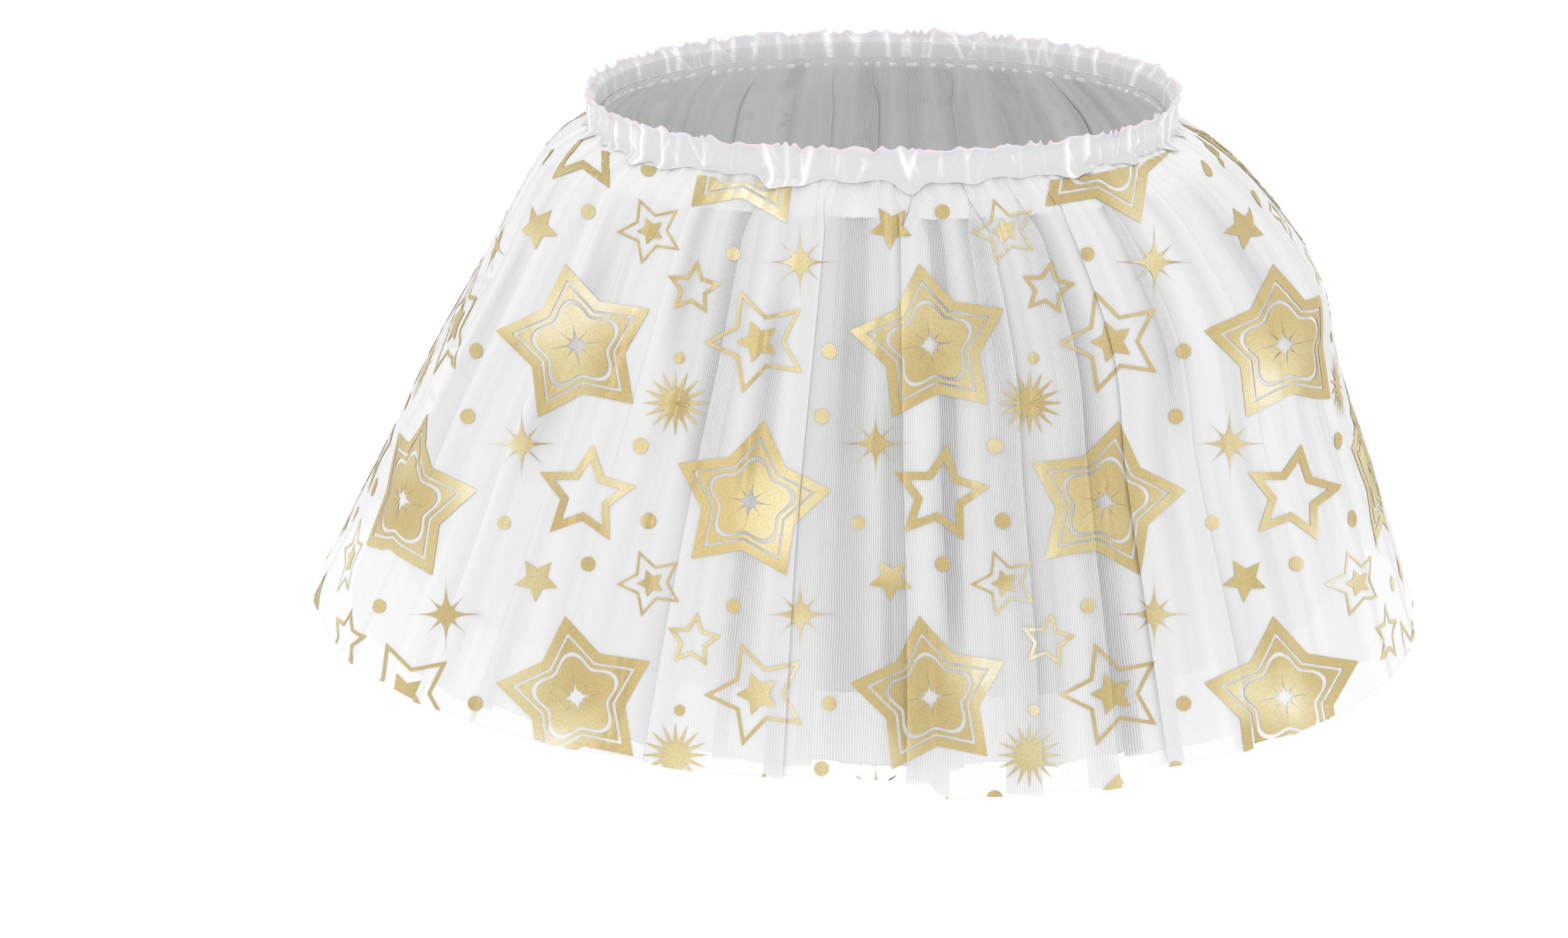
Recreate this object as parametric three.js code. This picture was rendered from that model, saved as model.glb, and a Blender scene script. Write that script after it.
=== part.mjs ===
// A tulle tutu as it is worn: three layers of net gathered into a ruffled satin waistband.
// Millimetres, +Z up. The front faces -Y and the wearer's left is at +X.
// The origin is the middle of the waist, where the wearer holds the skirt up.

import * as THREE from 'three';

// Cloth
const NET_WALL = 1.2;
const HEADING_WALL = 1.0;
const SEAM_GAP = 0.3;

// Heights of the skirt, from the middle of the waistband
const NET_TOP = -8;
const DROP = 282;
const FRONT_AND_BACK_DROP = 11.5;
const HEM_ROLL = 0.017; // the hem hangs this much lower for each millimetre towards +X

// Plan of every level: a rounded oval, a little squarer than an ellipse
const OVAL_POWER = 2.14;

// Half-widths of the outer layer's middle surface, at shares of the way down the net
const FORM = [
  { share: 0.0, left: 163.5, right: 160, front: 125, back: 125 },
  { share: 0.05, left: 185, right: 183, front: 132, back: 134 },
  { share: 0.12, left: 200, right: 206, front: 143, back: 149 },
  { share: 0.3, left: 227, right: 245, front: 166, back: 180 },
  { share: 0.5, left: 258, right: 260, front: 191, back: 208 },
  { share: 0.75, left: 292, right: 286, front: 223, back: 238 },
  { share: 1.0, left: 328, right: 309, front: 250, back: 263 },
];

// Layers of net: how far each lies inside the outer one, how deep its folds are at the hem,
// where its hem is cut, and how many folds a panel has where they are not set by hand
const LAYERS = {
  outer: { top: 0, hem: 0, fold: 8, cut: 1.0, folds: 15, levels: [0, 0.064, 0.14, 0.36, 0.68, 1] },
  middle: { top: 2.8, hem: 21, fold: 7, cut: 1.0, folds: 14, levels: [0, 0.064, 0.14, 0.45, 1] },
  inner: { top: 4.3, hem: 39, fold: 7, cut: 0.9, folds: 13, levels: [0, 0.064, 0.14, 0.45, 1] },
};
const INSET_POWER = 0.6;

// Folds of the outer front panel, from the wearer's right seam to the left one.
// at: place of the steep side, as a share of the panel's width; faces: 1 where the cloth in
// front ends towards +X there, -1 where it ends towards -X; depth: against the layer's fold
const FRONT_FOLDS = [
  { at: 0.036, faces: -1, depth: 1.15 },
  { at: 0.134, faces: -1, depth: 1.05 },
  { at: 0.205, faces: -1, depth: 0.75 },
  { at: 0.25, faces: 1, depth: 0.7 },
  { at: 0.3, faces: 1, depth: 0.85 },
  { at: 0.37, faces: -1, depth: 0.65 },
  { at: 0.437, faces: 1, depth: 0.8 },
  { at: 0.53, faces: -1, depth: 0.85 },
  { at: 0.592, faces: 1, depth: 0.75 },
  { at: 0.643, faces: 1, depth: 0.6 },
  { at: 0.688, faces: -1, depth: 0.8 },
  { at: 0.735, faces: 1, depth: 0.7 },
  { at: 0.805, faces: -1, depth: 0.9 },
  { at: 0.88, faces: 1, depth: 1.0 },
  { at: 0.94, faces: 1, depth: 1.15 },
];
const STEEP_SIDE = 0.018; // width of a fold's steep side, as a share of the panel's width
const SEAM_DEPTH = -0.8; // a side seam lies this far in, against the layer's fold

// At the front the outer net hangs lower between two places across the panel
const LOW_HEM = { from: 0.53, to: 0.652, edge: 0.009, fade: 0.02, lower: 8 };

// Waistband: points of its section, from the top of the ruffle down the outside and back up the
// inside. out: from the net's middle surface; wave and lift: how far the gathers move the point;
// shift: how far the gathers have slid there; scallop: how much of the scalloped edge it has
const WAISTBAND = [
  { out: 3.6, height: 9.5, wave: 1.6, lift: 0.9, shift: 0, scallop: 0 },
  { out: 1.2, height: 5.2, wave: 0.5, lift: 0, shift: 0.1, scallop: 0 },
  { out: 2.8, height: 0.5, wave: 1.1, lift: 0, shift: 0.3, scallop: 0 },
  { out: 1.9, height: -6.6, wave: 0.5, lift: 0, shift: 0.45, scallop: 0.2 },
  { out: 3.9, height: -10.9, wave: 1.2, lift: 0.3, shift: 0.5, scallop: 1 },
  { out: 2.7, height: -10.7, wave: 1.2, lift: 0.3, shift: 0.5, scallop: 1 },
  { out: 1.0, height: -7.7, wave: 0, lift: 0, shift: 0, scallop: 0 },
  { out: -2.0, height: -7.7, wave: 0, lift: 0, shift: 0, scallop: 0 },
  { out: -1.6, height: 4.2, wave: 0.2, lift: 0, shift: 0.1, scallop: 0 },
  { out: 2.3, height: 9.3, wave: 1.6, lift: 0.9, shift: 0, scallop: 0 },
];
const GATHERS = 72;
const COLUMNS_A_GATHER = 4;

// Scallops of the band's lower edge: how many, how far they move it up or down, and how round
const SCALLOPS = 34;
const SCALLOP_DEPTH = 2;
const SCALLOP_POWER = 0.7;

// The heading band reaches from the top of the net to its second level
const HEADING_ROWS = 2;

const SATIN_WHITE = 0xfbf7f8;
const HEADING_WHITE = 0xf8f8f8;
const NET_WHITE = 0xf1f1f1;

// One column of a table with a share in each row, read at any share by a smooth curve
function reading(rows, column, share) {
  const last = rows.length - 1;
  let row = 0;
  while (row < last - 1 && share > rows[row + 1].share) row += 1;
  const slope = (k) => {
    const before = rows[Math.max(k - 1, 0)];
    const after = rows[Math.min(k + 1, last)];
    return (after[column] - before[column]) / (after.share - before.share);
  };
  const [above, below] = [rows[row], rows[row + 1]];
  const step = below.share - above.share;
  const t = (share - above.share) / step;
  const ease = t * t * (3 - 2 * t);
  const bend = t * (1 - t) * step * ((1 - t) * slope(row) - t * slope(row + 1));
  return above[column] * (1 - ease) + below[column] * ease + bend;
}

// A smooth step from 0 to 1 as x goes from a to b
function smooth(a, b, x) {
  const t = Math.min(Math.max((x - a) / (b - a), 0), 1);
  return t * t * (3 - 2 * t);
}

// Plan point at an angle from +X, on the oval of one level, moved inwards
function planPoint(angle, share, inset = 0) {
  const [c, s] = [Math.cos(angle), Math.sin(angle)];
  const wide = reading(FORM, c < 0 ? 'left' : 'right', share) - inset;
  const deep = reading(FORM, s < 0 ? 'front' : 'back', share) - inset;
  const reach = (Math.abs(c) ** OVAL_POWER + Math.abs(s) ** OVAL_POWER) ** (-1 / OVAL_POWER);
  return new THREE.Vector2(wide * c * reach, deep * s * reach);
}

// Outward direction in plan
function planNormal(angle, share) {
  const step = 0.01;
  const along = planPoint(angle + step, share).sub(planPoint(angle - step, share)).normalize();
  return new THREE.Vector2(along.y, -along.x);
}

// Angles at even distances along half of the oval at mid height, from one side seam to the other
const MID_HEIGHT = 0.6;

function evenAngles(start) {
  const steps = 720;
  const angles = [start];
  const walked = [0];
  for (let i = 1; i <= steps; i += 1) {
    const angle = start + (Math.PI * i) / steps;
    const stride = planPoint(angle, MID_HEIGHT).distanceTo(planPoint(angles[i - 1], MID_HEIGHT));
    angles.push(angle);
    walked.push(walked[i - 1] + stride);
  }
  return (across) => {
    const goal = across * walked[steps];
    let i = 1;
    while (i < steps && walked[i] < goal) i += 1;
    const t = (goal - walked[i - 1]) / (walked[i] - walked[i - 1]);
    return angles[i - 1] + t * (angles[i] - angles[i - 1]);
  };
}

// Folds of a panel where they are not set by hand: uneven in place, depth and direction
function unevenFolds(count, seed) {
  const folds = [];
  for (let k = 0; k < count; k += 1) {
    folds.push({
      at: (k + 0.5 + 0.2 * Math.sin(2.4 * k + seed)) / count,
      faces: Math.sin(1.9 * k + 2.3 * seed) > -0.1 ? 1 : -1,
      depth: 0.95 + 0.2 * Math.sin(3.7 * k + 1.3 * seed),
    });
  }
  return folds;
}

// Places where a panel's cloth is at its outermost or innermost, from seam to seam
function turningPlaces(folds) {
  const places = [{ at: 0, height: SEAM_DEPTH }];
  for (const { at, faces, depth } of folds) {
    places.push({ at: at - STEEP_SIDE / 2, height: faces * depth });
    places.push({ at: at + STEEP_SIDE / 2, height: -faces * depth });
  }
  places.push({ at: 1, height: SEAM_DEPTH });
  return places;
}

// Height of the folds across a panel, from about -1 at the innermost to 1 at the outermost
function foldHeight(places, across) {
  let i = 0;
  while (i < places.length - 2 && across > places[i + 1].at) i += 1;
  const [before, after] = [places[i], places[i + 1]];
  return before.height + (after.height - before.height) * smooth(before.at, after.at, across);
}

// Columns of a panel: its turning places, one between the two of a steep side, and two elsewhere
function panelColumns(places) {
  const columns = [];
  for (let i = 0; i < places.length - 1; i += 1) {
    const width = places[i + 1].at - places[i].at;
    const parts = width < 1.01 * STEEP_SIDE ? 2 : 3;
    for (let k = 0; k < parts; k += 1) columns.push(places[i].at + (width * k) / parts);
  }
  columns.push(1);
  return columns;
}

const PANELS = {
  front: { angleAt: evenAngles(Math.PI), side: -1, seed: 0.4 },
  back: { angleAt: evenAngles(0), side: 1, seed: 2.1 },
};

function foldsOf(layerName, panelName) {
  if (layerName === 'outer' && panelName === 'front') return FRONT_FOLDS;
  const seed = PANELS[panelName].seed + LAYERS[layerName].top;
  return unevenFolds(LAYERS[layerName].folds, seed);
}

// Height of the hem at an angle from +X
function hemHeight(angle) {
  const sideways = planPoint(angle, 1).x;
  return NET_TOP - DROP - FRONT_AND_BACK_DROP * Math.abs(Math.sin(angle)) - HEM_ROLL * sideways;
}

// How far the hem of the outer front panel hangs below the rest
function lowHem(across) {
  const { from, to, edge, fade, lower } = LOW_HEM;
  return lower * smooth(from, from + edge, across) * (1 - smooth(to, to + fade, across));
}

// Point of a layer's middle surface. across: from seam to seam; share: of the way down the net
function netPoint(layerName, panelName, places, across, share) {
  const layer = LAYERS[layerName];
  const angle = PANELS[panelName].angleAt(across);
  const inset = layer.top + (layer.hem - layer.top) * share ** INSET_POWER;
  const folded = layer.fold * share * foldHeight(places, across);
  const plan = planPoint(angle, share, inset);
  plan.addScaledVector(planNormal(angle, share), folded);
  const lowered = layerName === 'outer' && panelName === 'front' ? lowHem(across) : 0;
  const height = NET_TOP + share * (hemHeight(angle) - lowered - NET_TOP);
  return new THREE.Vector3(plan.x, plan.y, height);
}

// Unit normals of a grid of points, facing out of the skirt
function gridNormals(grid, closed) {
  const columns = grid[0].length;
  const column = (c) => {
    if (closed) return (c + columns) % columns;
    return Math.min(Math.max(c, 0), columns - 1);
  };
  return grid.map((row, r) =>
    row.map((_, c) => {
      const along = row[column(c + 1)].clone().sub(row[column(c - 1)]);
      const lower = grid[Math.min(r + 1, grid.length - 1)][c];
      const down = lower.clone().sub(grid[Math.max(r - 1, 0)][c]);
      return down.cross(along).normalize();
    }),
  );
}

// Every point of a grid moved along its normal
function moved(grid, normals, distance) {
  return grid.map((row, r) => row.map((p, c) => p.clone().addScaledVector(normals[r][c], distance)));
}

function solid(points, faces) {
  const geometry = new THREE.BufferGeometry().setFromPoints(points);
  geometry.setIndex(faces);
  geometry.computeVertexNormals();
  return geometry;
}

// Closed solid between an outer and an inner grid of the same size
function wall(outer, inner, closed) {
  const rows = outer.length;
  const columns = outer[0].length;
  const points = [...outer.flat(), ...inner.flat()];
  const out = (r, c) => r * columns + (c % columns);
  const inn = (r, c) => rows * columns + r * columns + (c % columns);
  const faces = [];
  const quad = (a, b, c, d) => faces.push(a, b, c, c, b, d);
  for (let c = 0; c < (closed ? columns : columns - 1); c += 1) {
    for (let r = 0; r < rows - 1; r += 1) {
      quad(out(r, c), out(r + 1, c), out(r, c + 1), out(r + 1, c + 1));
      quad(inn(r, c), inn(r, c + 1), inn(r + 1, c), inn(r + 1, c + 1));
    }
    quad(out(0, c), out(0, c + 1), inn(0, c), inn(0, c + 1));
    quad(out(rows - 1, c), inn(rows - 1, c), out(rows - 1, c + 1), inn(rows - 1, c + 1));
  }
  const end = columns - 1;
  for (let r = 0; r < rows - 1 && !closed; r += 1) {
    quad(out(r, 0), inn(r, 0), out(r + 1, 0), inn(r + 1, 0));
    quad(out(r, end), out(r + 1, end), inn(r, end), inn(r + 1, end));
  }
  return solid(points, faces);
}

// The ends of a panel are cut flat, half of the seam's gap from the side seam
function cutEnds(grid, side) {
  for (const row of grid) {
    row[0].y = (side * SEAM_GAP) / 2;
    row[row.length - 1].y = (side * SEAM_GAP) / 2;
  }
}

function flattenEnds(normals) {
  for (const row of normals) {
    row[0].setY(0).normalize();
    row[row.length - 1].setY(0).normalize();
  }
}

// The top edge of a wall is cut level, where the waistband sits on it
function levelTop(normals) {
  for (const normal of normals[0]) normal.setZ(0).normalize();
}

function netPanel(layerName, panelName) {
  const { cut, levels } = LAYERS[layerName];
  const places = turningPlaces(foldsOf(layerName, panelName));
  const columns = panelColumns(places);
  const grid = levels.map((level) =>
    columns.map((across) => netPoint(layerName, panelName, places, across, level * cut)),
  );
  const normals = gridNormals(grid, false);
  levelTop(normals);
  flattenEnds(normals);
  const outer = moved(grid, normals, NET_WALL / 2);
  const inner = moved(grid, normals, -NET_WALL / 2);
  cutEnds(outer, PANELS[panelName].side);
  cutEnds(inner, PANELS[panelName].side);
  return wall(outer, inner, false);
}

// The heading band lies just inside the outer net, on the same folds, all the way round
function headingBand() {
  const columns = Object.keys(PANELS).flatMap((panelName) => {
    const places = turningPlaces(foldsOf('outer', panelName));
    const kept = panelColumns(places).slice(0, -1);
    return kept.map((across) => ({ panelName, places, across }));
  });
  const grid = LAYERS.outer.levels.map((share) =>
    columns.map((c) => netPoint('outer', c.panelName, c.places, c.across, share)),
  );
  const normals = gridNormals(grid, true);
  levelTop(normals);
  const face = -(NET_WALL / 2 + SEAM_GAP);
  const outer = moved(grid, normals, face).slice(0, HEADING_ROWS);
  const inner = moved(grid, normals, face - HEADING_WALL).slice(0, HEADING_ROWS);
  return wall(outer, inner, true);
}

// How far a repeat has run ahead of even spacing: three sines, in turns of the repeat
function uneven(turn, [slow, middle, fast]) {
  const angle = 2 * Math.PI * turn;
  return slow * Math.sin(5 * angle + 1) + middle * Math.sin(13 * angle) + fast * Math.sin(31 * angle + 2);
}

// Gathers round the waistband: a wave of uneven width and height, from -1 to 1
function gather(turn, shift) {
  const height = 0.8 + 0.2 * Math.sin(22 * Math.PI * turn + 2);
  const ahead = uneven(turn, [0.25, 0.12, 0.085]);
  return height * Math.sin(2 * Math.PI * (GATHERS * turn + ahead + shift));
}

// Scallops round the lower edge: 1 at the bottom of a lobe, -1 in the notch between two
function scallop(turn) {
  const ahead = uneven(turn, [0.16, 0.1, 0.045]);
  const lobe = Math.abs(Math.sin(Math.PI * (SCALLOPS * turn + ahead))) ** SCALLOP_POWER;
  return 2 * lobe - 1;
}

function waistbandPoint(row, turn) {
  const angle = 2 * Math.PI * turn;
  const wave = gather(turn, row.shift);
  const lowered = SCALLOP_DEPTH * row.scallop * scallop(turn);
  const height = row.height + row.lift * wave - lowered;
  const share = Math.max(0, NET_TOP - height) / DROP;
  const plan = planPoint(angle, share);
  plan.addScaledVector(planNormal(angle, share), row.out + row.wave * wave);
  return new THREE.Vector3(plan.x, plan.y, height);
}

function waistband() {
  const columns = GATHERS * COLUMNS_A_GATHER;
  const rows = WAISTBAND.length;
  const points = [];
  const faces = [];
  for (let c = 0; c < columns; c += 1) {
    const next = (c + 1) % columns;
    for (let r = 0; r < rows; r += 1) {
      const below = (r + 1) % rows;
      const [a, b] = [c * rows + r, c * rows + below];
      const [d, e] = [next * rows + r, next * rows + below];
      points.push(waistbandPoint(WAISTBAND[r], c / columns));
      faces.push(a, b, d, d, b, e);
    }
  }
  return solid(points, faces);
}

function cloth(color, roughness) {
  return new THREE.MeshStandardMaterial({ color, roughness, metalness: 0 });
}

function piece(name, geometry, material) {
  const mesh = new THREE.Mesh(geometry, material);
  mesh.name = name;
  return mesh;
}

const tutu = new THREE.Group();
const net = cloth(NET_WHITE, 0.8);
tutu.add(piece('waistband', waistband(), cloth(SATIN_WHITE, 0.3)));
tutu.add(piece('heading_band', headingBand(), cloth(HEADING_WHITE, 0.7)));
for (const layerName of Object.keys(LAYERS)) {
  for (const panelName of Object.keys(PANELS)) {
    tutu.add(piece(`tulle_${layerName}_${panelName}`, netPanel(layerName, panelName), net));
  }
}

export default tutu;
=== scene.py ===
# %% [markdown]
# A tulle tutu, as it is worn
#
# The real skirt is three layers of white net, cut raw at the hem, and gathered
# into a ruffled satin band with elastic in it. Gold foil stars are printed on
# the outer net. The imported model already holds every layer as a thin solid
# wall. Here each layer becomes a single sheet on that same form, with the
# finer folds, the threads of the net, the sewing and the print.

# %% The frame
import math

import bpy
import numpy as np
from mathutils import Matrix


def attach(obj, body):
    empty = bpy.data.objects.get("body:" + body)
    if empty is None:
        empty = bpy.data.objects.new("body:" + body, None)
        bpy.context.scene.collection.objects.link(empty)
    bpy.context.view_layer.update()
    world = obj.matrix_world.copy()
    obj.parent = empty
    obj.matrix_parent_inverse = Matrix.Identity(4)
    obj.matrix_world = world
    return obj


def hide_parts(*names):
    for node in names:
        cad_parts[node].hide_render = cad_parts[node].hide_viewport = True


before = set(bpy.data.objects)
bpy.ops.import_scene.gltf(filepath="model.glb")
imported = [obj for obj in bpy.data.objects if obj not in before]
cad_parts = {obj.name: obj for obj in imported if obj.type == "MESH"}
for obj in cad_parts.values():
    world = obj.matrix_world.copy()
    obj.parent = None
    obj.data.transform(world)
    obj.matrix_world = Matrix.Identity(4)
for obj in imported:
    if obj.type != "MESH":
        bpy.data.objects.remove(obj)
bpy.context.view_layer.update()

# %% [markdown]
# A few small helpers serve the whole file. A table names its columns once, and can
# be read by rows or as arrays. Colours are picked as sRGB hex values, as on a
# screen, but the renderer works in linear light, so one function turns them. Two
# add a node and fill in its inputs. One puts arrays into a mesh: `foreach_set`
# copies a whole array at once, which is much faster than a loop over points.

# %% Helpers
MM = 0.001
EASED = dict(interpolation_type="SMOOTHSTEP")
COLOUR = dict(data_type="RGBA")


def table(columns, *rows):
    """A table as a list of dicts: the columns are named once, and each row is a tuple."""
    return [dict(zip(columns.split(), row)) for row in rows]


def arrays_of(rows):
    """The columns of a table as arrays, by name."""
    return {name: np.array([row[name] for row in rows]) for name in rows[0]}


def running(steps):
    """The running sum of steps, from 0 before the first one."""
    return np.concatenate([[0], np.cumsum(steps)])


def linear(hex_colour):
    """An sRGB hex value as linear red, green, blue and an alpha of 1.

    Dark values are divided by 12.92. The others are raised to the power 2.4.
    """
    srgb = np.array([int(hex_colour[i:i + 2], 16) / 255 for i in (0, 2, 4)])
    turned = np.where(srgb <= 0.04045, srgb / 12.92, ((srgb + 0.055) / 1.055) ** 2.4)
    return (*turned.tolist(), 1.0)


def fill(tree, node, inputs):
    """Set or link a node's inputs: a dict gives them by name, and a list in the node's order.

    A node stands for its first live output, and a text for a colour.
    """
    for name, value in inputs.items() if isinstance(inputs, dict) else enumerate(inputs):
        if isinstance(value, str):
            value = linear(value)
        if isinstance(value, bpy.types.Node):
            value = next(output for output in value.outputs if output.enabled)
        if isinstance(value, bpy.types.NodeSocket):
            tree.links.new(value, node.inputs[name])
        else:
            node.inputs[name].default_value = value


def add(tree, kind, inputs=(), **settings):
    """Add a shader node, give it its settings and fill in its inputs."""
    node = tree.nodes.new("ShaderNode" + kind)
    for name, value in settings.items():
        setattr(node, name, value)
    fill(tree, node, inputs)
    return node


def new_material(name):
    """A new material, with its node tree and its shader."""
    material = bpy.data.materials.new(name)
    material.use_nodes = True
    return material, material.node_tree, material.node_tree.nodes["Principled BSDF"]


def new_object(name, data):
    """A new object in the scene, with the data given."""
    thing = bpy.data.objects.new(name, data)
    bpy.context.scene.collection.objects.link(thing)
    return thing


def make_piece(name, points, faces, uv=None, values=None):
    """Put arrays into a new mesh object.

    points are in millimetres, faces are rows of three or four corners, uv is in
    metres for each point, and values are named numbers for each point.
    """
    mesh = bpy.data.meshes.new(name)
    count, corners = faces.shape
    flat = np.ascontiguousarray(faces, dtype=np.int32).ravel()
    mesh.vertices.add(len(points))
    mesh.vertices.foreach_set("co", (points * MM).astype(np.float32).ravel())
    mesh.loops.add(flat.size)
    mesh.loops.foreach_set("vertex_index", flat)
    mesh.polygons.add(count)
    mesh.polygons.foreach_set("loop_start", np.arange(0, flat.size, corners, dtype=np.int32))
    mesh.update(calc_edges=True)
    mesh.polygons.foreach_set("use_smooth", np.ones(count, dtype=bool))
    if uv is not None:
        layer = mesh.uv_layers.new(name="cloth")
        layer.data.foreach_set("uv", uv[flat].astype(np.float32).ravel())
    for label, numbers in (values or {}).items():
        attribute = mesh.attributes.new(label, "FLOAT", "POINT")
        attribute.data.foreach_set("value", numbers.astype(np.float32).ravel())
    return new_object(name, mesh)


def stacked(*arrays):
    """Arrays that fit together, spread to one shape and stacked along a new last axis."""
    return np.stack(np.broadcast_arrays(*arrays), -1)


def grid_faces(rows, columns):
    """Corners of the quads of a grid that closes round, facing out where rows go down."""
    row = np.arange(rows - 1)[:, None]
    column = np.arange(columns)[None, :]
    beside = (column + 1) % columns
    below = row + 1
    corners = (row * columns + column, below * columns + column,
               below * columns + beside, row * columns + beside)
    return stacked(*corners).reshape(-1, 4)


def joined(parts):
    """Points and faces of several meshes as those of one, with the corners counted on."""
    points, faces = zip(*parts)
    firsts = running([len(part) for part in points])
    counted_on = [part + first for part, first in zip(faces, firsts)]
    return np.concatenate(points), np.concatenate(counted_on)


def closed_sheet(name, points, across, down, values):
    """A sheet from a grid of points that closes round the skirt.

    across and down are the cloth's own width and length in millimetres, for its UV map.
    """
    shape = points.shape[:2]
    spread = {label: np.broadcast_to(numbers, shape) for label, numbers in values.items()}
    uv = stacked(across, down).reshape(-1, 2) * MM
    return make_piece(name, points.reshape(-1, 3), grid_faces(*shape), uv, spread)


# %% [markdown]
# The form of the skirt is a rounded oval at each height. A short table gives the
# half-widths of the oval on the way down, and smooth curves read between its
# rows. This is the same table as in the solid model, in millimetres, so that
# every sheet lies on its solid. A loft through hand-made rings could do
# this too, but a formula gives any point of the skirt, and everything
# sewn or printed on it later needs just that.

# %% The skirt's form
NET_TOP = -8.0
DROP = 282.0
FRONT_AND_BACK_DROP = 11.5
HEM_ROLL = 0.017
OVAL_POWER = 2.14
CLOSE_BY = 0.01

FORM = arrays_of(table(
    "share left right front back",
    (0.0, 163.5, 160, 125, 125),
    (0.05, 185, 183, 132, 134),
    (0.12, 200, 206, 143, 149),
    (0.3, 227, 245, 166, 180),
    (0.5, 258, 260, 191, 208),
    (0.75, 292, 286, 223, 238),
    (1.0, 328, 309, 250, 263),
))


def curve_through(knots, values, at):
    """A smooth curve through values at knots, read at any place.

    Between two knots the value eases over by 3t^2 - 2t^3, and is bent so that it
    leaves each knot at the slope of the line through that knot's neighbours.
    """
    last = len(knots) - 1
    before = np.maximum(np.arange(last + 1) - 1, 0)
    after = np.minimum(np.arange(last + 1) + 1, last)
    slopes = (values[after] - values[before]) / (knots[after] - knots[before])
    k = np.clip(np.searchsorted(knots, at, side="right") - 1, 0, last - 1)
    step = knots[k + 1] - knots[k]
    t = (at - knots[k]) / step
    ease = t * t * (3 - 2 * t)
    bend = t * (1 - t) * step * ((1 - t) * slopes[k] - t * slopes[k + 1])
    return values[k] * (1 - ease) + values[k + 1] * ease + bend


def oval(side, share):
    """The half-width of the oval to one side, at a share of the way down."""
    return curve_through(FORM["share"], FORM[side], share)


def smooth(a, b, x):
    """A smooth step, 0 at a and 1 at b: 3t^2 - 2t^3 of the way between them."""
    t = np.clip((x - a) / (b - a), 0, 1)
    return t * t * (3 - 2 * t)


def window(x, a, b, c, d):
    """Up from 0 to 1 between a and b, and down again between c and d."""
    return smooth(a, b, x) * (1 - smooth(c, d, x))


def plan_point(angle, share, inset=0.0):
    """Plan x and y at an angle from +X: |x/wide|^2.14 + |y/deep|^2.14 = 1, moved inwards."""
    c, s = np.cos(angle), np.sin(angle)
    wide = np.where(c < 0, oval("left", share), oval("right", share)) - inset
    deep = np.where(s < 0, oval("front", share), oval("back", share)) - inset
    reach = (np.abs(c) ** OVAL_POWER + np.abs(s) ** OVAL_POWER) ** (-1 / OVAL_POWER)
    return wide * c * reach, deep * s * reach


def plan_normal(angle, share):
    """Outward direction in plan, from two points of the oval close on either side."""
    ahead = plan_point(angle + CLOSE_BY, share)
    behind = plan_point(angle - CLOSE_BY, share)
    dx, dy = ahead[0] - behind[0], ahead[1] - behind[1]
    length = np.hypot(dx, dy)
    return dy / length, -dx / length


def hem_height(angle):
    """Height of the hem: lower at the front and back than at the sides."""
    sideways = plan_point(angle, 1.0)[0]
    return NET_TOP - DROP - FRONT_AND_BACK_DROP * np.abs(np.sin(angle)) - HEM_ROLL * sideways


ANGLE_STEPS = 720
MID_HEIGHT = 0.6


def even_angles(start):
    """Angles from start over half the oval, and the distance walked to each at mid height."""
    angles = start + np.linspace(0, np.pi, ANGLE_STEPS + 1)
    x, y = plan_point(angles, MID_HEIGHT)
    return angles, running(np.hypot(np.diff(x), np.diff(y)))


# side: 1 where a panel is seen from the front, -1 where it is seen from behind
PANELS = {
    "front": dict(walk=even_angles(np.pi), seed=0.4, side=1),
    "back": dict(walk=even_angles(0.0), seed=2.1, side=-1),
}


def angle_at(panel, across):
    """The angle at a share of the panel's width, from one side seam to the other."""
    angles, walked = PANELS[panel]["walk"]
    return np.interp(across * walked[-1], walked, angles)


PANEL_WIDTH = 1000.0
for label, panel in PANELS.items():
    print(label, "panel is", round(panel["walk"][1][-1]), "mm wide at mid height")

# %% [markdown]
# Net that is gathered falls in folds, and at each fold it laps over itself: it
# runs forward, turns back and runs forward again, so that three layers lie over
# each other in a narrow strip. Those strips are the whiter rays of the real
# skirt. A smooth wave would have none of them. So each fold follows a small
# drawn section, an S lying on its side, and a table places the folds one by one
# at the front. The hidden panels get folds of the same kind from a formula.

# %% Folds
# lap: where the cloth is, in laps from the middle of the fold. opened: the same at
# the waist, where nothing laps. depth: how far out, for a fold that faces +X
FOLD_SECTION = arrays_of(table(
    "lap opened depth",
    (-1.0, -1.0, 0.96),
    (-0.1, -0.78, 1.0),
    (0.38, -0.56, 0.93),
    (0.5, -0.33, 0.7),
    (0.36, -0.11, 0.42),
    (-0.36, 0.11, -0.42),
    (-0.5, 0.33, -0.7),
    (-0.38, 0.56, -0.93),
    (0.1, 0.78, -1.0),
    (1.0, 1.0, -0.96),
))
FOLD_KNOTS = len(FOLD_SECTION["lap"])
# The two rows of the section where the cloth turns
FIRST_EDGE, SECOND_EDGE = 3, 6

# at: share of the panel's width. faces: 1 where the cloth in front ends towards +X.
# depth: against the layer's fold. lap: width of the strip, as a share of the panel
FRONT_FOLDS = table(
    "at faces depth lap",
    (0.036, -1, 0.12, 0.003),
    (0.134, -1, 0.3, 0.003),
    (0.205, -1, 0.32, 0.004),
    (0.25, -1, 0.14, 0.003),
    (0.3, -1, 0.2, 0.003),
    (0.37, -1, 0.6, 0.014),
    (0.437, 1, 0.5, 0.012),
    (0.53, -1, 0.85, 0.028),
    (0.592, 1, 0.75, 0.022),
    (0.643, 1, 0.6, 0.019),
    (0.688, -1, 0.5, 0.012),
    (0.735, 1, 0.6, 0.012),
    (0.805, 1, 0.16, 0.003),
    (0.88, 1, 0.2, 0.003),
    (0.94, 1, 0.15, 0.004),
)

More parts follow.
